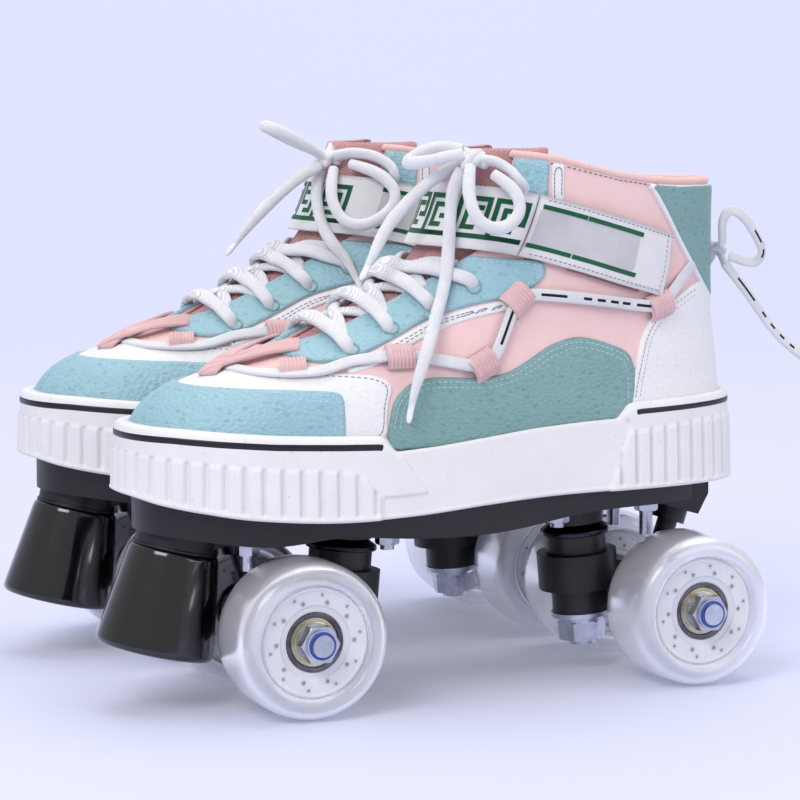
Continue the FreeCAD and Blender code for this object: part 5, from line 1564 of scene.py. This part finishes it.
# ------------------------------------------------------------------ wheels
WHEEL_R, WHEEL_MID, WHEELBASE = 29.0, 36.5, 158.0
half = [(12.6, 20.4), (12.9, 20.7), (14.3, 21.1), (15.4, 21.7), (15.85, 22.4), (16.0, 23.2), (15.85, 24.4), (15.3, 25.6), (14.3, 26.8), (12.9, 27.75), (11.2, 28.4), (8.5, 28.8), (5.0, 28.97), (2.0, 29.0)]
tyre_prof = half + [(-a, r) for a, r in reversed(half)]
ch = [(12.0, 11.02), (12.0, 12.9), (12.25, 13.3), (12.6, 13.6), (12.6, 18.6), (12.9, 18.9), (12.9, 19.7), (12.7, 20.0), (12.2, 20.45)]
core_prof = ch + [(-a, r) for a, r in reversed(ch)] + [(-5.0, 11.02), (-4.9, 9.6), (4.9, 9.6), (5.0, 11.02)]
core_prof = fillet(core_prof, 0.25, 2)


def disc_marks(x, y, sgn):
    """Ten pairs of small blind holes in the hub's face: raised rims, and floors coloured dark as painted shade inside
    the holes.
    """
    rims, floors = [], []
    for i in range(10):
        for r, rr, da in ((15.0, 0.85, 0.0), (17.4, 0.65, 0.16)):
            a = 2 * math.pi * i / 10 + da
            c = np.array([x + math.cos(a) * r, y + sgn * 12.62, WHEEL_R + math.sin(a) * r])
            t = np.linspace(0, 2 * np.pi, 17)[:-1]
            ring = c + np.stack([np.cos(t) * rr, 0 * t, np.sin(t) * rr], -1)
            rims.append(sweep(ring, np.tile([0.0, sgn, 0.0], (16, 1)), oval(0.34, 0.24, 6), closed=True))
            prof = np.array([(0.05, 0.001), (0.05, rr - 0.08), (-0.3, rr - 0.08), (-0.3, 0.001)])
            Vq, Fq = lathe(prof, c[0], c[2], 16, y0=c[1], sgn=sgn)
            floors.append((Vq, Fq))
    return join(rims), join(floors)


for end, x in (("front", 0.0), ("rear", WHEELBASE)):
    for pos, sy in (("outer", -1), ("inner", 1)):
        y0 = sy * WHEEL_MID
        body = f"{end}_{pos}_wheel"
        both(f"{end}_{pos}_tyre", lathe(tyre_prof, x, WHEEL_R, 128, y0=y0), M["tyre"], body=body, replaces=(f"{end}_{pos}_wheel",))
        both(f"{end}_{pos}_hub_core", lathe(core_prof, x, WHEEL_R, 112, y0=y0), M["core"], body=body, sharp=40)
        r1, f1 = disc_marks(x, y0, -1)
        r2, f2 = disc_marks(x, y0, 1)
        both(f"{end}_{pos}_hub_hole_rims", join([r1, r2]), M["core"], body=body)
        # floors of the hub's holes carry the painted shade colour
        both(f"{end}_{pos}_hub_hole_floors", join([f1, f2]), M["dark_hole"], body=body)
        rings, shields = [], []
        for kk in (-1, 1):
            yc = y0 + kk * 8.5
            rings.append(lathe(fillet([(3.5, 9.05), (3.5, 10.98), (-3.5, 10.98), (-3.5, 9.05)], 0.35, 3), x, WHEEL_R, 80, y0=yc))
            shields.append(lathe(fillet([(3.15, 6.35), (3.3, 7.0), (3.05, 7.4), (3.15, 8.9), (2.8, 9.1), (-2.8, 9.1), (-3.15, 8.9), (-3.05, 7.4), (-3.3, 7.0), (-3.15, 6.35)], 0.2, 2), x, WHEEL_R, 80, y0=yc))
        both(f"{end}_{pos}_bearing_outer_rings", join(rings), M["bearing"], body=body, replaces=(f"{end}_{pos}_bearings",), sharp=40)
        both(f"{end}_{pos}_bearing_shields", join(shields), M["shield"], body=body, sharp=40)
        # black ring at the shield's inner edge: painted shade of the gap between shield and race; and the locknut's
        # nylon ring
        gap_shade_ring = join([lathe([(3.0, 6.12), (3.0, 6.4), (-3.0, 6.4), (-3.0, 6.12)], x, WHEEL_R, 64, y0=y0 + kk * 8.5) for kk in (-1, 1)])
        both(f"{end}_{pos}_bearing_seals", gap_shade_ring, M["black_rubber"], body=body)
        yn = sy * (WHEEL_MID + 16.0 - 4.0 + 7.55)
        both(f"{end}_{pos}_nut_insert", lathe(fillet([(0.35, 4.15), (0.35, 5.15), (-0.5, 5.15), (-0.5, 4.15)], 0.15, 2), x, WHEEL_R, 48, y0=yn, sgn=sy), M["blue"], body=f"{end}_truck")


# ------------------------------------------------------------------ toe stop: turned rubber cone with a soft lower edge
def lathe_axis(prof, base, axis, n=128):
    axis = np.asarray(axis, float) / np.linalg.norm(axis)
    e1 = np.array([0.0, 1.0, 0.0])
    e2 = np.cross(axis, e1)
    a = np.linspace(0, 2 * np.pi, n, endpoint=False)
    prof = np.asarray(prof, float)
    V = (np.asarray(base) + prof[None, :, 0:1] * axis + prof[None, :, 1:2] * (np.cos(a)[:, None, None] * e1 + np.sin(a)[:, None, None] * e2))
    return V.reshape(-1, 3), [quads(n, len(prof), True, True)]


TSB, TST = np.array([-44.4, 0, 20.7]), np.array([-35.9, 0, 58.0])
tax = TST - TSB
th = float(np.linalg.norm(tax))
pr = fillet([(0.0, 0.02), (0.0, 20.0), (0.5, 21.4), (1.9, 22.05), (4.0, 21.85), (th - 1.6, 16.9), (th - 0.2, 16.3), (th - 0.2, 8.0), (th - 0.6, 4.2), (10.0, 4.2), (10.0, 0.02)], 0.8, 4)
both("toe_stop_cone", lathe_axis(pr[::-1], TSB, tax), M["stop"], replaces=("toe_stop",), sharp=50)
both("toe_stop_washer", lathe_axis(fillet([(th - 0.1, 4.2), (th - 0.1, 15.9), (th + 1.1, 15.9), (th + 1.1, 4.2)], 0.4, 3)[::-1], TSB, tax), M["plate"], sharp=50)

# ------------------------------------------------------------------ carried-over CAD nodes
FIN = {"front_hanger": "plate", "rear_hanger": "plate", "front_axle_set": "zinc", "rear_axle_set": "zinc", "kingpins": "zinc", "cushions": "black_rubber",
       "pivot_cups": "black_rubber", "baseplate": "plate", "mounting_bolts": "zinc", "toe_stop_bolt": "zinc"}
for s, r in SIDES:
    for n, m in FIN.items():
        o = NODES[f"{s}_{n}"]
        if not o.material_slots:
            o.data.materials.append(M[m])
        for sl_ in o.material_slots:
            sl_.link = "OBJECT"
            sl_.material = M[m]


def kp_line(x, ib):
    t = math.radians(5.0)
    d = np.array([ib * math.sin(t), 0, math.cos(t)])
    base = np.array([x + ib * (28.6 + (54.4 - 40) * math.tan(t)), 0, 54.4])
    return base, d


cups = []
for x, ib in ((0.0, 1), (WHEELBASE, -1)):
    b, d = kp_line(x, ib)
    cups.append(lathe_axis(fillet([(-0.15, 5.2), (-0.15, 13.15), (0.4, 13.5), (1.8, 13.4), (2.4, 12.6), (4.3, 9.6), (4.3, 5.2)], 0.35, 3)[::-1], b, d))
both("upper_cup_washers", join(cups), M["black_zinc"], sharp=50)

# ------------------------------------------------------------------ camera, floor, light
cam = bpy.data.objects.new("camera", bpy.data.cameras.new("camera"))
bpy.context.scene.collection.objects.link(cam)
cam.location = (-0.44459, -1.07038, 0.22833)
cam.rotation_euler = (math.radians(90 - 6.183), 0.0, math.radians(-23.374))
cam.data.lens = 132.29
cam.data.sensor_width = 36.0
cam.data.clip_start = 0.05
cam.data.clip_end = 60
bpy.context.scene.camera = cam

# pale floor that curves up into a backdrop
fx = np.linspace(-5.0, 5.0, 41)
prof = [(-4.0, 0.0), (-1.0, 0.0), (-0.2, 0.0), (0.3, 0.0), (0.9, 0.0), (1.5, 0.0)]
for k in range(1, 17):
    a = math.pi / 2 * k / 16
    prof.append((1.5 + 1.6 * math.sin(a), 1.6 * (1 - math.cos(a))))
prof += [(3.1, 2.2), (3.1, 3.6), (3.1, 5.0)]
ca, sa = math.cos(math.radians(-23.374)), math.sin(math.radians(-23.374))
V = []
for d, z in prof:
    for w in fx:
        V.append((w * ca - d * sa, w * sa + d * ca, z))
floor = build("studio_floor", V, [quads(len(prof), len(fx))[:, ::-1]], Mat("pale_lavender_paper", Base_Color=srgb(190, 192, 214), Emission_Color=srgb(236, 239, 255), Emission_Strength=0.21, Roughness=0.75, Specular_IOR_Level=0.2).m)
wmat = floor.data.materials[0]

SC = bpy.context.scene
SC.view_settings.view_transform = "Standard"
w = bpy.data.worlds.new("studio")
SC.world = w
w.use_nodes = True
bg = w.node_tree.nodes["Background"]
bg.inputs[0].default_value = (0.94, 0.95, 1.0, 1.0)
bg.inputs[1].default_value = 0.56


def area(name, loc, target, size, power, col=(1, 1, 1)):
    l = bpy.data.lights.new(name, "AREA")
    l.shape = "RECTANGLE"
    l.size, l.size_y = size
    l.energy = power
    l.color = col
    o = bpy.data.objects.new(name, l)
    SC.collection.objects.link(o)
    o.location = loc
    from mathutils import Vector
    o.rotation_euler = (Vector(target) - Vector(loc)).to_track_quat("-Z", "Y").to_euler()
    return o


area("key", (-1.3, -1.1, 1.5), (0, 0, 0.08), (1.1, 0.9), 22, (1.0, 0.99, 0.985))
area("top", (0.2, 0.2, 1.9), (0, 0, 0.08), (1.8, 1.6), 18, (0.99, 0.985, 1.0))
area("fill", (1.2, -1.4, 0.8), (0, 0, 0.08), (1.2, 1.0), 7, (0.97, 0.97, 1.0))
area("back", (0.8, 1.7, 2.3), (1.3, 3.0, 0.7), (4.0, 1.4), 27, (0.95, 0.955, 1.0))
